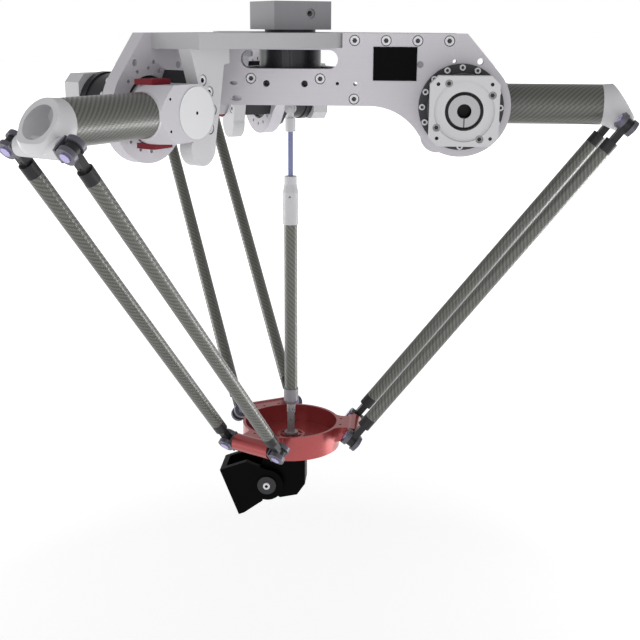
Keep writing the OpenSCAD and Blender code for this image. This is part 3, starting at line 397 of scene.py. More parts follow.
def brushing_group():
    """Fine lines of machining: noise drawn out along one direction by the ratios of a stretch vector."""
    group, into, out = new_group("Machining lines",
                                 [("Vector", "NodeSocketVector", None),
                                  ("Stretch", "NodeSocketVector", LINES_ALONG_Z)],
                                 [("Lines", "NodeSocketFloat")])
    drawn = add_node(group, "ShaderNodeVectorMath",
                     {0: into.outputs["Vector"], 1: into.outputs["Stretch"]}, operation="MULTIPLY")
    lines = add_node(group, "ShaderNodeTexNoise", {"Vector": drawn.outputs[0], "Scale": 1.0, "Detail": 4.0})
    group.links.new(lines.outputs["Fac"], out.inputs["Lines"])
    return group


def twill_group():
    """A 2/2 twill of flat tows laid along and round a tube. Tow numbers i and j come from the two map
    coordinates over the tow width. A tow of the first set is on top where (i + j) mod 4 is 0 or 1, which
    makes the slanted lines of a twill. The height of a tow is the arch sin(pi * place across it)."""
    group, into, out = new_group("Carbon twill",
                                 [("Vector", "NodeSocketVector", None),
                                  ("Tow", "NodeSocketFloat", 0.0026)],
                                 [("Top set", "NodeSocketFloat"),
                                  ("Height", "NodeSocketFloat"),
                                  ("Streak", "NodeSocketFloat")])
    split = add_node(group, "ShaderNodeSeparateXYZ", {"Vector": into.outputs["Vector"]})
    first = math_node(group, "DIVIDE", split.outputs["Y"], into.outputs["Tow"])
    second = math_node(group, "DIVIDE", split.outputs["X"], into.outputs["Tow"])
    number = math_node(group, "ADD", math_node(group, "FLOOR", first), math_node(group, "FLOOR", second))
    turn = math_node(group, "FLOORED_MODULO", number, 4.0)
    top = math_node(group, "LESS_THAN", turn, 1.5)
    arches = []
    for place in (first, second):
        angle = math_node(group, "MULTIPLY", math_node(group, "FRACT", place), math.pi)
        arches.append(math_node(group, "SINE", angle))
    height = add_node(group, "ShaderNodeMix", {0: top, 2: arches[0], 3: arches[1]})
    fibres = []
    for fine_first, fine_second in ((STREAK_ACROSS, STREAK_ALONG), (STREAK_ALONG, STREAK_ACROSS)):
        place = add_node(group, "ShaderNodeCombineXYZ",
                         {"X": math_node(group, "MULTIPLY", first, fine_first),
                          "Y": math_node(group, "MULTIPLY", second, fine_second)}).outputs[0]
        noise = add_node(group, "ShaderNodeTexNoise", {"Vector": place, "Scale": 1.0, "Detail": 2.0})
        fibres.append(noise.outputs["Fac"])
    streak = add_node(group, "ShaderNodeMix", {0: top, 2: fibres[1], 3: fibres[0]})
    group.links.new(top, out.inputs["Top set"])
    group.links.new(height.outputs[0], out.inputs["Height"])
    group.links.new(streak.outputs[0], out.inputs["Streak"])
    return group


def bore_group():
    """Marks what lies nearer to a line than a radius: the length of the cross product of the way from the
    line's start and its unit direction is the distance."""
    group, into, out = new_group("Bore",
                                 [("Vector", "NodeSocketVector", None),
                                  ("Start", "NodeSocketVector", None),
                                  ("Direction", "NodeSocketVector", None),
                                  ("Radius", "NodeSocketFloat", 0.002)],
                                 [("Inside", "NodeSocketFloat")])
    way = add_node(group, "ShaderNodeVectorMath",
                   {0: into.outputs["Vector"], 1: into.outputs["Start"]}, operation="SUBTRACT").outputs[0]
    cross = add_node(group, "ShaderNodeVectorMath",
                     {0: way, 1: into.outputs["Direction"]}, operation="CROSS_PRODUCT").outputs[0]
    away = add_node(group, "ShaderNodeVectorMath", {0: cross}, operation="LENGTH").outputs["Value"]
    inside = math_node(group, "LESS_THAN", away, into.outputs["Radius"])
    group.links.new(inside, out.inputs["Inside"])
    return group


def use_group(tree, group, inputs):
    """Places a node group in a material and gives it its values."""
    return add_node(tree, "ShaderNodeGroup", inputs, node_tree=group)


def rgba(shade, factor=1.0):
    """A colour times a factor, with full opacity."""
    return tuple(min(1.0, c * factor) for c in shade) + (1.0,)


def new_material(name):
    """A fresh node material, with its tree and its Principled shader."""
    material = bpy.data.materials.new(name)
    material.use_nodes = True
    shader = material.node_tree.nodes["Principled BSDF"]
    return material, material.node_tree, shader


def spread(tree, noise, low, high):
    """A noise or a mask mapped onto a range of values."""
    return add_node(tree, "ShaderNodeMapRange",
                    {"Value": noise, "From Min": NOISE_LOW, "From Max": NOISE_HIGH,
                     "To Min": low, "To Max": high}).outputs["Result"]


def tinted(tree, share, dark, light):
    """A colour that runs from dark to light with a share."""
    return add_node(tree, "ShaderNodeMix", {0: share, 6: dark, 7: light}, data_type="RGBA").outputs[2]


def raised(tree, shader, height, distance):
    """Gives a shader a bump that stands a height of 0 to 1 times a distance, in metres."""
    bump = add_node(tree, "ShaderNodeBump", {"Height": height, "Strength": 1.0, "Distance": distance})
    tree.links.new(bump.outputs["Normal"], shader.inputs["Normal"])


def bored(material, spots):
    """Recolours round spots of a finish, each given as (start, direction, radius, shade)."""
    tree = material.node_tree
    entry = tree.nodes["Principled BSDF"].inputs["Base Color"]
    place = add_node(tree, "ShaderNodeTexCoord").outputs["Object"]
    for start, direction, radius, shade in spots:
        line = {"Vector": place, "Start": tuple(map(float, start)),
                "Direction": tuple(map(float, direction)), "Radius": radius + SPOT_MARGIN}
        inside = use_group(tree, GROUPS["bore"], line).outputs["Inside"]
        tree.links.new(tinted(tree, inside, entry.links[0].from_socket, shade), entry)


def coated(name, shade, metallic, roughness, fineness=900.0, bump=0.00002, tone=0.06, coat=0.0, gloss=0.5):
    """A painted, anodised or moulded finish: one colour with a slow cloud of tone, fine grain in its
    roughness and a shallow bump."""
    material, tree, shader = new_material(name)
    place = add_node(tree, "ShaderNodeTexCoord").outputs["Object"]
    grain = use_group(tree, GROUPS["grain"], {"Vector": place, "Fineness": fineness})
    cloud = spread(tree, grain.outputs["Cloud"], 0.0, 1.0)
    toned = tinted(tree, cloud, rgba(shade, 1 - tone), rgba(shade, 1 + tone))
    tree.links.new(toned, shader.inputs["Base Color"])
    rough = spread(tree, grain.outputs["Grain"], roughness - 0.05, roughness + 0.05)
    tree.links.new(rough, shader.inputs["Roughness"])
    shader.inputs["Metallic"].default_value = metallic
    shader.inputs["Specular IOR Level"].default_value = gloss
    shader.inputs["Coat Weight"].default_value = coat
    shader.inputs["Coat Roughness"].default_value = 0.15
    raised(tree, shader, grain.outputs["Grain"], bump)
    return material


def machined(name, shade, metallic, roughness, stretch, bump=0.000012, tone=0.05):
    """A machined metal: lines along one direction in tone, roughness and bump."""
    material, tree, shader = new_material(name)
    place = add_node(tree, "ShaderNodeTexCoord").outputs["Object"]
    lines = use_group(tree, GROUPS["brushing"], {"Vector": place, "Stretch": stretch}).outputs["Lines"]
    toned = tinted(tree, spread(tree, lines, 0.0, 1.0), rgba(shade, 1 - tone), rgba(shade, 1 + tone))
    tree.links.new(toned, shader.inputs["Base Color"])
    tree.links.new(spread(tree, lines, roughness - 0.06, roughness + 0.06), shader.inputs["Roughness"])
    shader.inputs["Metallic"].default_value = metallic
    shader.inputs["Specular IOR Level"].default_value = 0.3
    raised(tree, shader, lines, bump)
    return material


def socket_shaded(name, shade):
    """A screw's finish, with painted shade in its socket: the part of the map before the socket's rim is
    darkened nearly to black.
    """
    material = coated(name, shade, 0.2, 0.35, fineness=1500, bump=0.000005, tone=0.03)
    tree = material.node_tree
    entry = tree.nodes["Principled BSDF"].inputs["Base Color"]
    place = add_node(tree, "ShaderNodeUVMap", uv_map="weave").outputs["UV"]
    row = add_node(tree, "ShaderNodeSeparateXYZ", {"Vector": place}).outputs["X"]
    # Painted shade: the socket's rows take 0.06 of the screw's colour.
    inside = math_node(tree, "LESS_THAN", row, SOCKET_ROWS)
    tree.links.new(tinted(tree, inside, entry.links[0].from_socket, rgba(shade, 0.06)), entry)
    return material


def woven(name, tow):
    """Carbon twill under clear resin, drawn in the piece's own map, in metres."""
    shades = bpy.context.scene.robot_colours
    material, tree, shader = new_material(name)
    place = add_node(tree, "ShaderNodeUVMap", uv_map="weave").outputs["UV"]
    weave = use_group(tree, GROUPS["twill"], {"Vector": place, "Tow": tow})
    streak = spread(tree, weave.outputs["Streak"], 0.0, 1.0)
    fibre = tinted(tree, streak, (0.72, 0.72, 0.72, 1), (1.1, 1.1, 1.1, 1))
    # Painted sheen: the tows of the top set take the light fibre colour and the others take the dark one.
    tone = tinted(tree, weave.outputs["Top set"], rgba(shades.fibre_dark), rgba(shades.fibre_light))
    mixed = add_node(tree, "ShaderNodeMix", {0: 1.0, 6: tone, 7: fibre},
                     data_type="RGBA", blend_type="MULTIPLY")
    tree.links.new(mixed.outputs[2], shader.inputs["Base Color"])
    tree.links.new(spread(tree, weave.outputs["Top set"], 0.42, 0.3), shader.inputs["Roughness"])
    shader.inputs["Metallic"].default_value = 0.3
    shader.inputs["Specular IOR Level"].default_value = 0.6
    shader.inputs["Coat Weight"].default_value = 0.35
    shader.inputs["Coat Roughness"].default_value = 0.25
    raised(tree, shader, weave.outputs["Height"], tow * 0.06)
    return material


# ---- finishes

def finish_of(slot):
    """The material of a finish, or of a slot of the record."""
    if slot not in FINISHES:
        raise ValueError(f"no finish was made for slot {slot}")
    return FINISHES[slot]


def body_of_node(node):
    """The body that carries a solid."""
    for body, nodes in RECORD["behaviour"]["bodies"].items():
        if node in nodes:
            return body
    raise ValueError(f"no body carries {node}")


class ROBOT_OT_finishes(Operator):
    """Makes the finishes and puts them on the robot's solids"""
    bl_idname = "robot.finishes"
    bl_label = "Finishes"

    def execute(self, context):
        shades = context.scene.robot_colours
        sizes = context.scene.robot_sizes
        GROUPS.update(grain=grain_group(), brushing=brushing_group(), twill=twill_group(), bore=bore_group())
        # Each finish has its name, its colour, its metallic share and its roughness.
        FINISHES.update(
            plate_metal=machined("Plate metal", shades.plate, 0.1, 0.45, LINES_ALONG_X, tone=0.02),
            cast_white=coated("Cast white", shades.casting, 0.0, 0.38, fineness=700, bump=0.00003,
                              tone=0.02),
            top_metal=machined("Top plate metal", shades.top, 0.1, 0.45, LINES_ALONG_Z, tone=0.02),
            hub_white=coated("Hub white", shades.hub, 0.0, 0.38, fineness=700, bump=0.00003,
                             tone=0.02),
            cover_white=coated("Cover white", shades.cover, 0.0, 0.4, fineness=700, tone=0.01),
            gearbox_dark=coated("Gearbox dark", shades.gearbox, 0.4, 0.32, gloss=0.4),
            platform_red=coated("Platform red", shades.platform, 0.5, 0.3, fineness=1400, bump=0.00001,
                                coat=0.4),
            pad_red=coated("Pad red", shades.pad, 0.0, 0.6, fineness=600, bump=0.00005, gloss=0.2),
            end_black=coated("End black", shades.rod_end, 0.2, 0.4, fineness=1200, gloss=0.3),
            tool_black=coated("Tool black", shades.black, 0.0, 0.42, fineness=1200, bump=0.000015,
                              gloss=0.04),
            axle_dark=coated("Axle dark", shades.gearbox, 0.3, 0.4, fineness=1200, gloss=0.3),
            stop_black=coated("Stop black", shades.gearbox, 0.1, 0.5, gloss=0.2),
            black_label=coated("Black label", shades.label, 0.0, 0.5, fineness=2000, bump=0.000005,
                               gloss=0.04),
            yoke_grey=coated("Yoke grey", shades.yoke, 0.4, 0.36, fineness=1200, gloss=0.4),
            pin_steel=coated("Pin steel", shades.pin, 0.7, 0.25, fineness=1500, bump=0.000004),
            rod_violet=coated("Rod violet", shades.violet, 0.5, 0.28, fineness=1500, bump=0.000004),
            block_grey=machined("Block grey", shades.block, 0.25, 0.42, LINES_ALONG_Z, tone=0.03),
            screw_steel=socket_shaded("Screw steel", shades.screw),
            # The sunk screws' darker colour is painted shade of their bores.
            sunk_screw=socket_shaded("Sunk screw steel in painted shade", shades.sunk_screw),
            hub_steel=coated("Hub steel", shades.steel, 0.5, 0.34, fineness=1500, bump=0.000005),
            carbon_weave=woven("Carbon weave", sizes.tow),
            rod_weave=woven("Rod weave", sizes.rod_tow))
        for row in RECORD["subparts"]:
            self.dress(row["node"], finish_of(row["material_slot"]))
        self.dress("top_plate", finish_of("top_metal"))
        for index in MODULE_TURNS:
            self.module_bores(index, shades, sizes)
        low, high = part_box("tilt_axle")
        middle = ((low.x + high.x) / 2, 0, (low.z + high.z) / 2)
        along = (0.0, 1.0, 0.0)
        # The socket of the screw in the axle's disc is painted black as the shade inside it.
        self.drill("tilt_axle", "axle_dark", [(middle, along, sizes.axle_screw, rgba(shades.screw)),
                                              (middle, along, sizes.axle_socket, PAINTED_SHADE_BLACK)])
        return {"FINISHED"}

    def dress(self, node, material):
        """Puts a material on a solid."""
        solid = frame["nodes"][node]
        if not solid.material_slots:
            solid.data.materials.append(None)
        for place in solid.material_slots:
            place.material = material

    def drill(self, node, slot, spots):
        """Gives a solid a copy of a finish, with spots of it in other shades."""
        own = finish_of(slot).copy()
        own.name = f"{finish_of(slot).name} {node}"
        bored(own, spots)
        self.dress(node, own)

    def module_bores(self, index, shades, sizes):
        """Paints shade into the bores and holes of a module's hubs as black spots, and marks the plug in its
        side plate.
        """
        axes = out, side, up = module_axes(index)
        low, high = extents(f"clamp_hub_{index}", axes)
        axis = out * (low[0] + high[0]) / 2 + up * (low[2] + high[2]) / 2
        # The motor bore, the cover bore and the hub holes are painted black as the shade inside them.
        motor_bore = (axis, side, sizes.motor_bore, PAINTED_SHADE_BLACK)
        cover_bore = (axis, side, sizes.cover_bore, PAINTED_SHADE_BLACK)
        hub_holes = [(axis + out * sizes.hub_hole_reach + up * height, side, sizes.hub_hole, PAINTED_SHADE_BLACK)
                     for height in (-sizes.hub_hole_height, sizes.hub_hole_height)]
        plug = out * sizes.plug_reach - up * sizes.plug_depth
        self.drill(f"clamp_hub_{index}", "hub_steel", [motor_bore])
        self.drill(f"arm_hub_{index}", "hub_white", [cover_bore, *hub_holes])
        self.drill(f"hub_cover_{index}", "cover_white", [cover_bore])
        self.drill(f"side_plate_{index}", "plate_metal",
                   [(plug, side, sizes.plug_radius, rgba(shades.plate, 0.55))])


# ---- pieces

class ROBOT_OT_arm_tubes(Operator):
    """Builds the carbon tubes of the three arms, each a closed tube section turned about its own line"""
    bl_idname = "robot.arm_tubes"
    bl_label = "Arm tubes"

    def execute(self, context):
        sizes = context.scene.robot_sizes
        for index in MODULE_TURNS:
            node = f"arm_tube_{index}"
            axes = module_axes(index)
            low, high = extents(node, axes)
            profile = tube_profile(high[0] - low[0], (high[2] - low[2]) / 2, sizes.arm_tube_wall)
            patch = turned_patch(on_middle_line(axes, low, high, low[0]), axes[0], profile, sizes.segments)
            add_piece(f"woven_arm_tube_{index}", build_mesh(node, [patch]), f"arm_{index}",
                      finish_of("carbon_weave"), [node])
        return {"FINISHED"}


def rod_line(index):
    """The line of a module's far rod: it runs along the longest direction of the rod's corners.

    Returns the rod's start, direction, length and radius, then the sideways direction and the distance
    from the far rod to the near one."""
    side = module_axes(index)[1]
    corners = corners_of(f"rods_{index}")
    offsets = corners @ side
    half = (offsets.max() - offsets.min()) / 2
    far = corners[offsets > (offsets.max() + offsets.min()) / 2]
    centred = far - far.mean(0)
    direction = np.linalg.svd(centred, full_matrices=False)[2][0]
    direction *= -np.sign(direction[2])
    run = centred @ direction
    radius = np.sqrt(np.maximum(0, (centred ** 2).sum(1) - run ** 2)).max()
    start = far.mean(0) + direction * run.min()
    return start, direction, run.max() - run.min(), radius, side, 2 * (half - radius)


class ROBOT_OT_rods(Operator):
    """Builds the carbon tubes of the rod pairs, each a closed tube section turned about its own line"""
    bl_idname = "robot.rods"
    bl_label = "Rods"

    def execute(self, context):
        sizes = context.scene.robot_sizes
        for index in MODULE_TURNS:
            node = f"rods_{index}"
            start, direction, reach, radius, side, gap = rod_line(index)
            profile = tube_profile(reach, radius, sizes.rod_wall)
            patches = [turned_patch(start - side * shift, direction, profile, sizes.segments // 2)
                       for shift in (0, gap)]
            add_piece(f"woven_{node}", build_mesh(node, patches), node, finish_of("rod_weave"),
                      [node])
        return {"FINISHED"}


class ROBOT_OT_shaft_tube(Operator):
    """Builds the carbon tube of the drive shaft, a closed tube section turned about the centre line"""
    bl_idname = "robot.shaft_tube"
    bl_label = "Shaft tube"

    def execute(self, context):
        sizes = context.scene.robot_sizes
        low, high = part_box("shaft_tube")
        profile = tube_profile(high.z - low.z, (high.x - low.x) / 2, sizes.rod_wall)
        patch = turned_patch((0, 0, high.z), (0, 0, -1.0), profile, sizes.segments // 2)
        add_piece("woven_shaft_tube", build_mesh("shaft_tube", [patch]), "shaft", finish_of("rod_weave"),
                  ["shaft_tube"])
        return {"FINISHED"}


def eased(share):
    """A share of 0 to 1 that starts and ends gently: s * s * (3 - 2 s)."""
    share = np.clip(share, 0, 1)
    return share * share * (3 - 2 * share)


def elbow_shape(index, sizes):
    """A module's elbow: its joint with the arm tube, and its lengths and places measured from that joint.

    The shaft and the mouth's top and lip are (forward, height) pairs. half is the half width that the shell
    widens to, and boss the half length of the shaft's tube."""
    axes = module_axes(index)
    low, high = extents(f"elbow_housing_{index}", axes)
    tube_low, tube_high = extents(f"arm_tube_{index}", axes)
    joint = on_middle_line(axes, tube_low, tube_high, tube_high[0])
    bottom = low[2] - joint[2]
    radius = (tube_high[2] - tube_low[2]) / 2
    return {"joint": joint, "radius": radius, "bottom": bottom, "boss": high[1],
            "half": high[1] - sizes.boss_length,
            "shaft": np.array([sizes.elbow_shaft_run, bottom + sizes.shaft_tube_radius]),
            "top": np.array([sizes.mouth_run, radius + sizes.brow_rise]),
            "lip": np.array([high[0] - tube_high[0] - sizes.lip_set_back, -sizes.lip_drop])}


def elbow_rows(shape, sizes, inset):
    """The top and bottom points of the elbow's rows, as (forward, height) pairs from its joint.

    The tops run straight from the joint to the mouth's top. The bottoms run down a gentle slope to below
    the shaft, and then round a quarter of an ellipse up to the mouth's lip. Inside the shell both lines
    are straight, and run from the hollow's back, inside the arm tube, to the mouth's rim."""
    share = np.linspace(0, 1, ELBOW_ROWS)
    radius, lip, top = shape["radius"], shape["lip"], shape["top"]
    if inset:
        mouth = (top - lip) / np.linalg.norm(top - lip)
        back = -sizes.hollow_depth
        floor = shape["shaft"][1] + sizes.shaft_tube_radius + sizes.floor_gap
        tops = np.outer(1 - share, [back, radius - inset]) + np.outer(share, top - mouth * sizes.brow_wall)
        return tops, np.outer(1 - share, [back, floor]) + np.outer(share, lip + mouth * sizes.lip_wall)
    tops = np.outer(1 - share, [0, radius]) + np.outer(share, top)
    keel = shape["shaft"][0] - sizes.keel_set_back
    bottom = shape["bottom"]
    slope = np.clip(share / SLOPE_SHARE, 0, 1)
    turn = np.clip((share - SLOPE_SHARE) / (1 - SLOPE_SHARE), 0, 1) * math.pi / 2
    forward = np.where(share < SLOPE_SHARE, keel * slope, keel + (lip[0] - keel) * np.sin(turn))
    height = np.where(share < SLOPE_SHARE, -radius + (bottom + radius) * eased(slope),
                      lip[1] + (bottom - lip[1]) * np.cos(turn))
    return tops, np.stack([forward, height], 1)


def elbow_skin(shape, sizes, inset):
    """One skin of the elbow: each row is an oval in the plane through its top and bottom points.

    Round the row at angle a the point stands cos a of the half height up from the middle, and sideways
    by the half width times sin a. Outside, the half width grows from the tube's radius to the shell's full
    half width as the point comes down to the shaft and forward from the joint, and the lower corners fill
    out as the power of the sine falls. Inside, the rows swell from a point like those of a ball. Returns
    the (forward, height) pairs and the sideways places."""
    tops, bottoms = elbow_rows(shape, sizes, inset)
    angle = np.linspace(2 * math.pi, 0, ELBOW_COLUMNS)[None, :]
    middle, half = (tops + bottoms) / 2, (tops - bottoms) / 2
    swell = np.sqrt(1 - np.linspace(-1, 0, ELBOW_ROWS) ** 2)[:, None] if inset else np.ones((ELBOW_ROWS, 1))
    place = middle[:, None, :] + half[:, None, :] * (np.cos(angle) * swell)[..., None]
    if inset:
        return place, (shape["radius"] - inset) * np.sin(angle) * swell
    forward = eased(place[..., 0] / (WIDENING_SHARE * shape["shaft"][0]))
    low = eased((-place[..., 1] - sizes.widening_drop) / sizes.widening_depth) * forward
    width = shape["radius"] + (shape["half"] - shape["radius"]) * low
    power = 1 - CORNER_FILL * low
    return place, width * np.sign(np.sin(angle)) * np.abs(np.sin(angle)) ** power


def shell_patch(shape, axes, sizes):
    """The elbow's cast shell: its outer skin up to the mouth, then its inner skin back to the hollow's end,
    with a row of one repeated point that closes each end."""
    out, side, up = axes
    outer, outer_sideways = elbow_skin(shape, sizes, 0)
    inner, inner_sideways = elbow_skin(shape, sizes, sizes.elbow_wall)
    rows = np.concatenate([outer, inner[::-1]])
    first, last = [np.broadcast_to(row.mean(0), row.shape)[None] for row in (rows[0], rows[-1])]
    rows = np.concatenate([first, rows, last])
    sideways = np.pad(np.concatenate([outer_sideways, inner_sideways[::-1]]), ((1, 1), (0, 0)))
    points = shape["joint"] + rows[..., :1] * out + sideways[..., None] * side + rows[..., 1:] * up
    return points, rows


def boss_patch(shape, axes, sizes):
    """The tube that holds the elbow's shaft: a closed section with chamfers, turned about its own line."""
    out, side, up = axes
    radius, bore, edge = sizes.shaft_tube_radius, sizes.shaft_bore, sizes.boss_edge
    reach = 2 * shape["boss"]
    section = [(bore, 0), (radius - edge, 0), (radius, edge), (radius, reach - edge), (radius - edge, reach),
               (bore, reach), (bore, 0)]
    start = shape["joint"] + out * shape["shaft"][0] + up * shape["shaft"][1] - side * shape["boss"]
    return turned_patch(start, side, section, 2 * SMALL_SEGMENTS)


class ROBOT_OT_elbows(Operator):
    """Builds the cast elbows: a shell that opens in a slanted mouth over the tube that holds the shaft"""
    bl_idname = "robot.elbows"
    bl_label = "Elbows"

    def execute(self, context):
        sizes = context.scene.robot_sizes
        for index in MODULE_TURNS:
            node = f"elbow_housing_{index}"
            axes = module_axes(index)
            shape = elbow_shape(index, sizes)
            patches = [shell_patch(shape, axes, sizes), boss_patch(shape, axes, sizes)]
            add_piece(f"cast_elbow_{index}", build_mesh(node, patches), f"arm_{index}",
                      finish_of("cast_white"), [node])
        return {"FINISHED"}


def islands(node):
    """The corner places of each separate solid of a node, found by walking over its merged faces."""
    shape = bmesh.new()
    shape.from_mesh(frame["nodes"][node].data)
    bmesh.ops.remove_doubles(shape, verts=shape.verts, dist=1e-6)
    seen = set()
    found = []
    for start in shape.verts:
        if start in seen:
            continue
        seen.add(start)
        front = [start]
        island = []
        while front:
            corner = front.pop()
            island.append(corner.co[:])
            for edge in corner.link_edges:
                other = edge.other_vert(corner)
                if other not in seen:
                    seen.add(other)
                    front.append(other)
        found.append(np.array(island))
    shape.free()
    return found


def screw_axes(corners):
    """The axes of the module that a screw stands square to, and its corners' places along them.

    There the screw is as wide as it is high."""
    for index in MODULE_TURNS:
        axes = module_axes(index)
        places = corners @ np.stack(axes, 1)
        size = places.max(0) - places.min(0)
        if abs(size[0] - size[2]) < SAME_SIZE:
            return axes, places
    raise ValueError("a screw stands square to none of the modules")


def hexagon(row, angle):
    """Bends the socket's rows to a hexagon, as 1 / cos(angle - 30 degrees) in each sixth of a turn."""
    sixth = 1 / np.cos(np.mod(angle, math.pi / 3) - math.pi / 6)
    return np.where((row == 1) | (row == 2), sixth, 1.0)


def screw_patch(corners, key, edge, segments):
    """A socket screw in the place of a solid one: its section is turned about its own line, with the
    socket's rows bent to a hexagon, and its map counts the rows of the section."""
    (out, side, up), places = screw_axes(corners)
    low, high = places.min(0), places.max(0)
    centre = (low + high) / 2
    distance = np.hypot(places[:, 0] - centre[0], places[:, 2] - centre[2])
    head_radius = distance.max()
    head = places[distance > head_radius - SAME_PLACE, 1]
    head_height = head.max() - head.min()
    outward = -1 if head.mean() < centre[1] else 1
    face, tip = (low[1], high[1]) if outward < 0 else (high[1], low[1])
    shank = distance[np.abs(places[:, 1] - tip) < SAME_PLACE].max()
    total = high[1] - low[1]
    half, depth = key / 2, head_height * SOCKET_DEPTH
    profile = [(0, depth + half / 3), (half, depth), (half, edge), (half * SOCKET_RIM, 0),
               (head_radius - edge, 0), (head_radius, edge), (head_radius, head_height),
               (shank, head_height), (shank, total - edge), (shank - edge, total), (0, total)]
    start = out * centre[0] + side * face + up * centre[2]
    points, chart = turned_patch(start, -outward * side, profile, segments, hexagon)
    chart[..., 0] = np.arange(len(profile))[:, None]
    return points, chart


class ROBOT_OT_screws(Operator):
    """Builds the socket screws of the frame, the gearboxes and the motor adapters"""
    bl_idname = "robot.screws"
    bl_label = "Screws"

    def execute(self, context):
        sizes = context.scene.robot_sizes
        kinds = (("plate_screws", sizes.plate_screw_key, 2 * SMALL_SEGMENTS, "screw_steel"),
                 ("gearbox_screws", sizes.gear_screw_key, SMALL_SEGMENTS, "screw_steel"),
                 ("adapter_screws", sizes.adapter_screw_key, SMALL_SEGMENTS, "sunk_screw"))
        for node, key, segments, finish in kinds:
            patches = [screw_patch(corners, key, sizes.edge, segments) for corners in islands(node)]
            add_piece(f"socket_{node}", build_mesh(node, patches), body_of_node(node), finish_of(finish),
                      [node])
        return {"FINISHED"}


# ---- stage

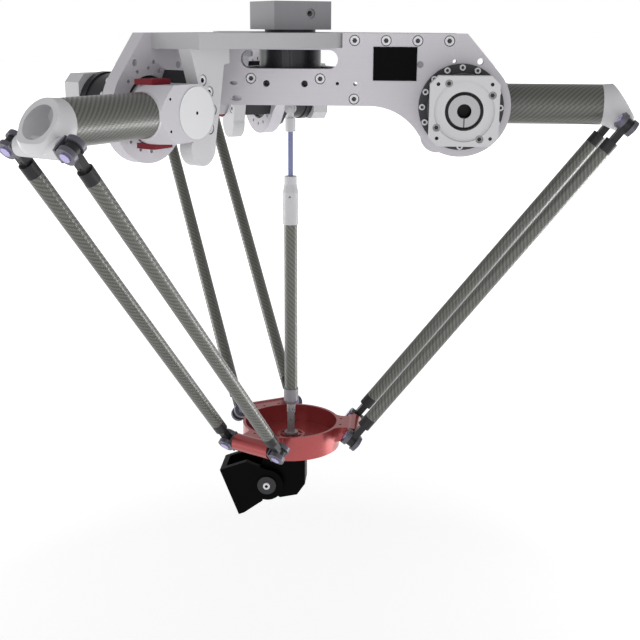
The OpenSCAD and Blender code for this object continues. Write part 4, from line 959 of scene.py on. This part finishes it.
class ROBOT_OT_stage(Operator):
    """Sets the floor, the lamps, the light from all round and the camera"""
    bl_idname = "robot.stage"
    bl_label = "Stage"

    def execute(self, context):
        stage = context.scene.robot_stage
        floor = self.floor(stage)
        self.room(context.scene, stage)
        # Each lamp has its name, its power, its place and its width, in metres.
        self.lamp("Key", stage.key_power, (-0.5, -2.3, 0.5), 1.8)
        self.lamp("Right", stage.right_power, (1.5, 0.45, -1.05), 0.8)
        self.lamp("Left", stage.left_power, (-2.3, 0.5, -0.5), 0.8)
        self.camera(context.scene, stage)
        context.scene.view_settings.view_transform = "Standard"
        return {"FINISHED"}

    def floor(self, stage):
        """A wide flat floor that shows the robot's shadow and is otherwise as white as the room."""
        signs = [(-1, -1), (1, -1), (1, 1), (-1, 1)]
        corners = [(x * FLOOR_REACH, y * FLOOR_REACH, -stage.floor_drop) for x, y in signs]
        mesh = bpy.data.meshes.new("Floor")
        mesh.from_pydata(corners, [], [(0, 1, 2, 3)])
        floor = bpy.data.objects.new("Floor", mesh)
        bpy.context.scene.collection.objects.link(floor)
        material, tree, shader = new_material("Pale floor")
        shader.inputs["Base Color"].default_value = (0.86, 0.86, 0.87, 1)
        shader.inputs["Roughness"].default_value = 0.9
        shader.inputs["Specular IOR Level"].default_value = 0.0
        place = add_node(tree, "ShaderNodeTexCoord").outputs["Object"]
        flat = add_node(tree, "ShaderNodeVectorMath", {0: place, 1: (1, 1, 0)}, operation="MULTIPLY")
        away = add_node(tree, "ShaderNodeVectorMath", {0: flat.outputs[0]}, operation="LENGTH")
        share = add_node(tree, "ShaderNodeMapRange",
                         {"Value": away.outputs["Value"], "From Min": GLOW_START, "From Max": GLOW_END,
                          "To Min": stage.floor_glow, "To Max": 1.0}).outputs["Result"]
        glow = add_node(tree, "ShaderNodeEmission", {"Color": (1, 1, 1, 1), "Strength": share})
        both = add_node(tree, "ShaderNodeAddShader", {0: shader.outputs[0], 1: glow.outputs[0]})
        tree.links.new(both.outputs[0], tree.nodes["Material Output"].inputs["Surface"])
        mesh.materials.append(material)
        return floor

    def room(self, scene, stage):
        """Soft light from all round, stronger from below, and plain white where the camera sees it."""
        world = bpy.data.worlds.new("Room")
        scene.world = world
        world.use_nodes = True
        tree = world.node_tree
        way = add_node(tree, "ShaderNodeTexCoord").outputs["Generated"]
        height = add_node(tree, "ShaderNodeSeparateXYZ", {"Vector": way}).outputs["Z"]
        soft = add_node(tree, "ShaderNodeMapRange",
                        {"Value": height, "From Min": ROOM_LOW_END, "From Max": ROOM_HIGH_START,
                         "To Min": stage.room_low, "To Max": stage.room_high})
        seen = add_node(tree, "ShaderNodeLightPath").outputs["Is Camera Ray"]
        strength = add_node(tree, "ShaderNodeMix", {0: seen, 2: soft.outputs["Result"], 3: 1.0}).outputs[0]
        back = tree.nodes["Background"]
        back.inputs["Color"].default_value = (1, 1, 1, 1)
        tree.links.new(strength, back.inputs["Strength"])

    def lamp(self, name, power, place, width):
        """A square lamp that faces the robot and is not seen itself."""
        lamp = bpy.data.lights.new(name, "AREA")
        lamp.energy = power
        lamp.size = width
        holder = bpy.data.objects.new(name, lamp)
        holder.visible_camera = False
        bpy.context.scene.collection.objects.link(holder)
        aim = Vector(LAMP_TARGET) - Vector(place)
        holder.location = place
        holder.rotation_euler = aim.to_track_quat("-Z", "Y").to_euler()

    def camera(self, scene, stage):
        """The camera looks along its turn and tip, and is then rolled about its view."""
        turn, tip, roll = stage.camera_turn, stage.camera_tip, stage.camera_roll
        view = Vector((math.sin(turn) * math.cos(tip), math.cos(turn) * math.cos(tip), -math.sin(tip)))
        flat = Vector((math.cos(turn), -math.sin(turn), 0))
        tall = flat.cross(view)
        right = flat * math.cos(roll) + tall * math.sin(roll)
        top = tall * math.cos(roll) - flat * math.sin(roll)
        lens = bpy.data.cameras.new("Camera")
        lens.lens = stage.camera_lens
        lens.sensor_width = SENSOR_WIDTH
        holder = bpy.data.objects.new("Camera", lens)
        scene.collection.objects.link(holder)
        facing = Matrix((right, top, -view)).transposed().to_4x4()
        holder.matrix_world = Matrix.Translation(Vector(stage.camera_place)) @ facing
        scene.camera = holder


# ---- add-on

PIECE_OPERATORS = (ROBOT_OT_finishes, ROBOT_OT_arm_tubes, ROBOT_OT_rods, ROBOT_OT_shaft_tube,
                   ROBOT_OT_elbows, ROBOT_OT_screws, ROBOT_OT_stage)


class ROBOT_PT_panel(Panel):
    """Lists the robot's settings and its pieces"""
    bl_idname = "ROBOT_PT_panel"
    bl_label = "Delta Robot"
    bl_space_type = "VIEW_3D"
    bl_region_type = "UI"
    bl_category = "Delta Robot"

    def draw(self, context):
        layout = self.layout
        for settings in (context.scene.robot_sizes, context.scene.robot_colours, context.scene.robot_stage):
            box = layout.box()
            for key in settings.__annotations__:
                box.prop(settings, key)
        for operator in PIECE_OPERATORS:
            layout.operator(operator.bl_idname)


CLASSES = (RobotColours, RobotSizes, StageSettings, *PIECE_OPERATORS, ROBOT_PT_panel)


def register():
    """Registers the settings, the operators and the panel."""
    for item in CLASSES:
        bpy.utils.register_class(item)
    bpy.types.Scene.robot_colours = PointerProperty(type=RobotColours)
    bpy.types.Scene.robot_sizes = PointerProperty(type=RobotSizes)
    bpy.types.Scene.robot_stage = PointerProperty(type=StageSettings)


def unregister():
    """Takes the settings, the operators and the panel away again."""
    del bpy.types.Scene.robot_stage, bpy.types.Scene.robot_sizes, bpy.types.Scene.robot_colours
    for item in reversed(CLASSES):
        bpy.utils.unregister_class(item)


def main():
    """Builds the robot piece by piece."""
    register()
    bpy.ops.robot.finishes()
    bpy.ops.robot.arm_tubes()
    bpy.ops.robot.rods()
    bpy.ops.robot.shaft_tube()
    bpy.ops.robot.elbows()
    bpy.ops.robot.screws()
    bpy.ops.robot.stage()


if __name__ == "__main__":
    main()
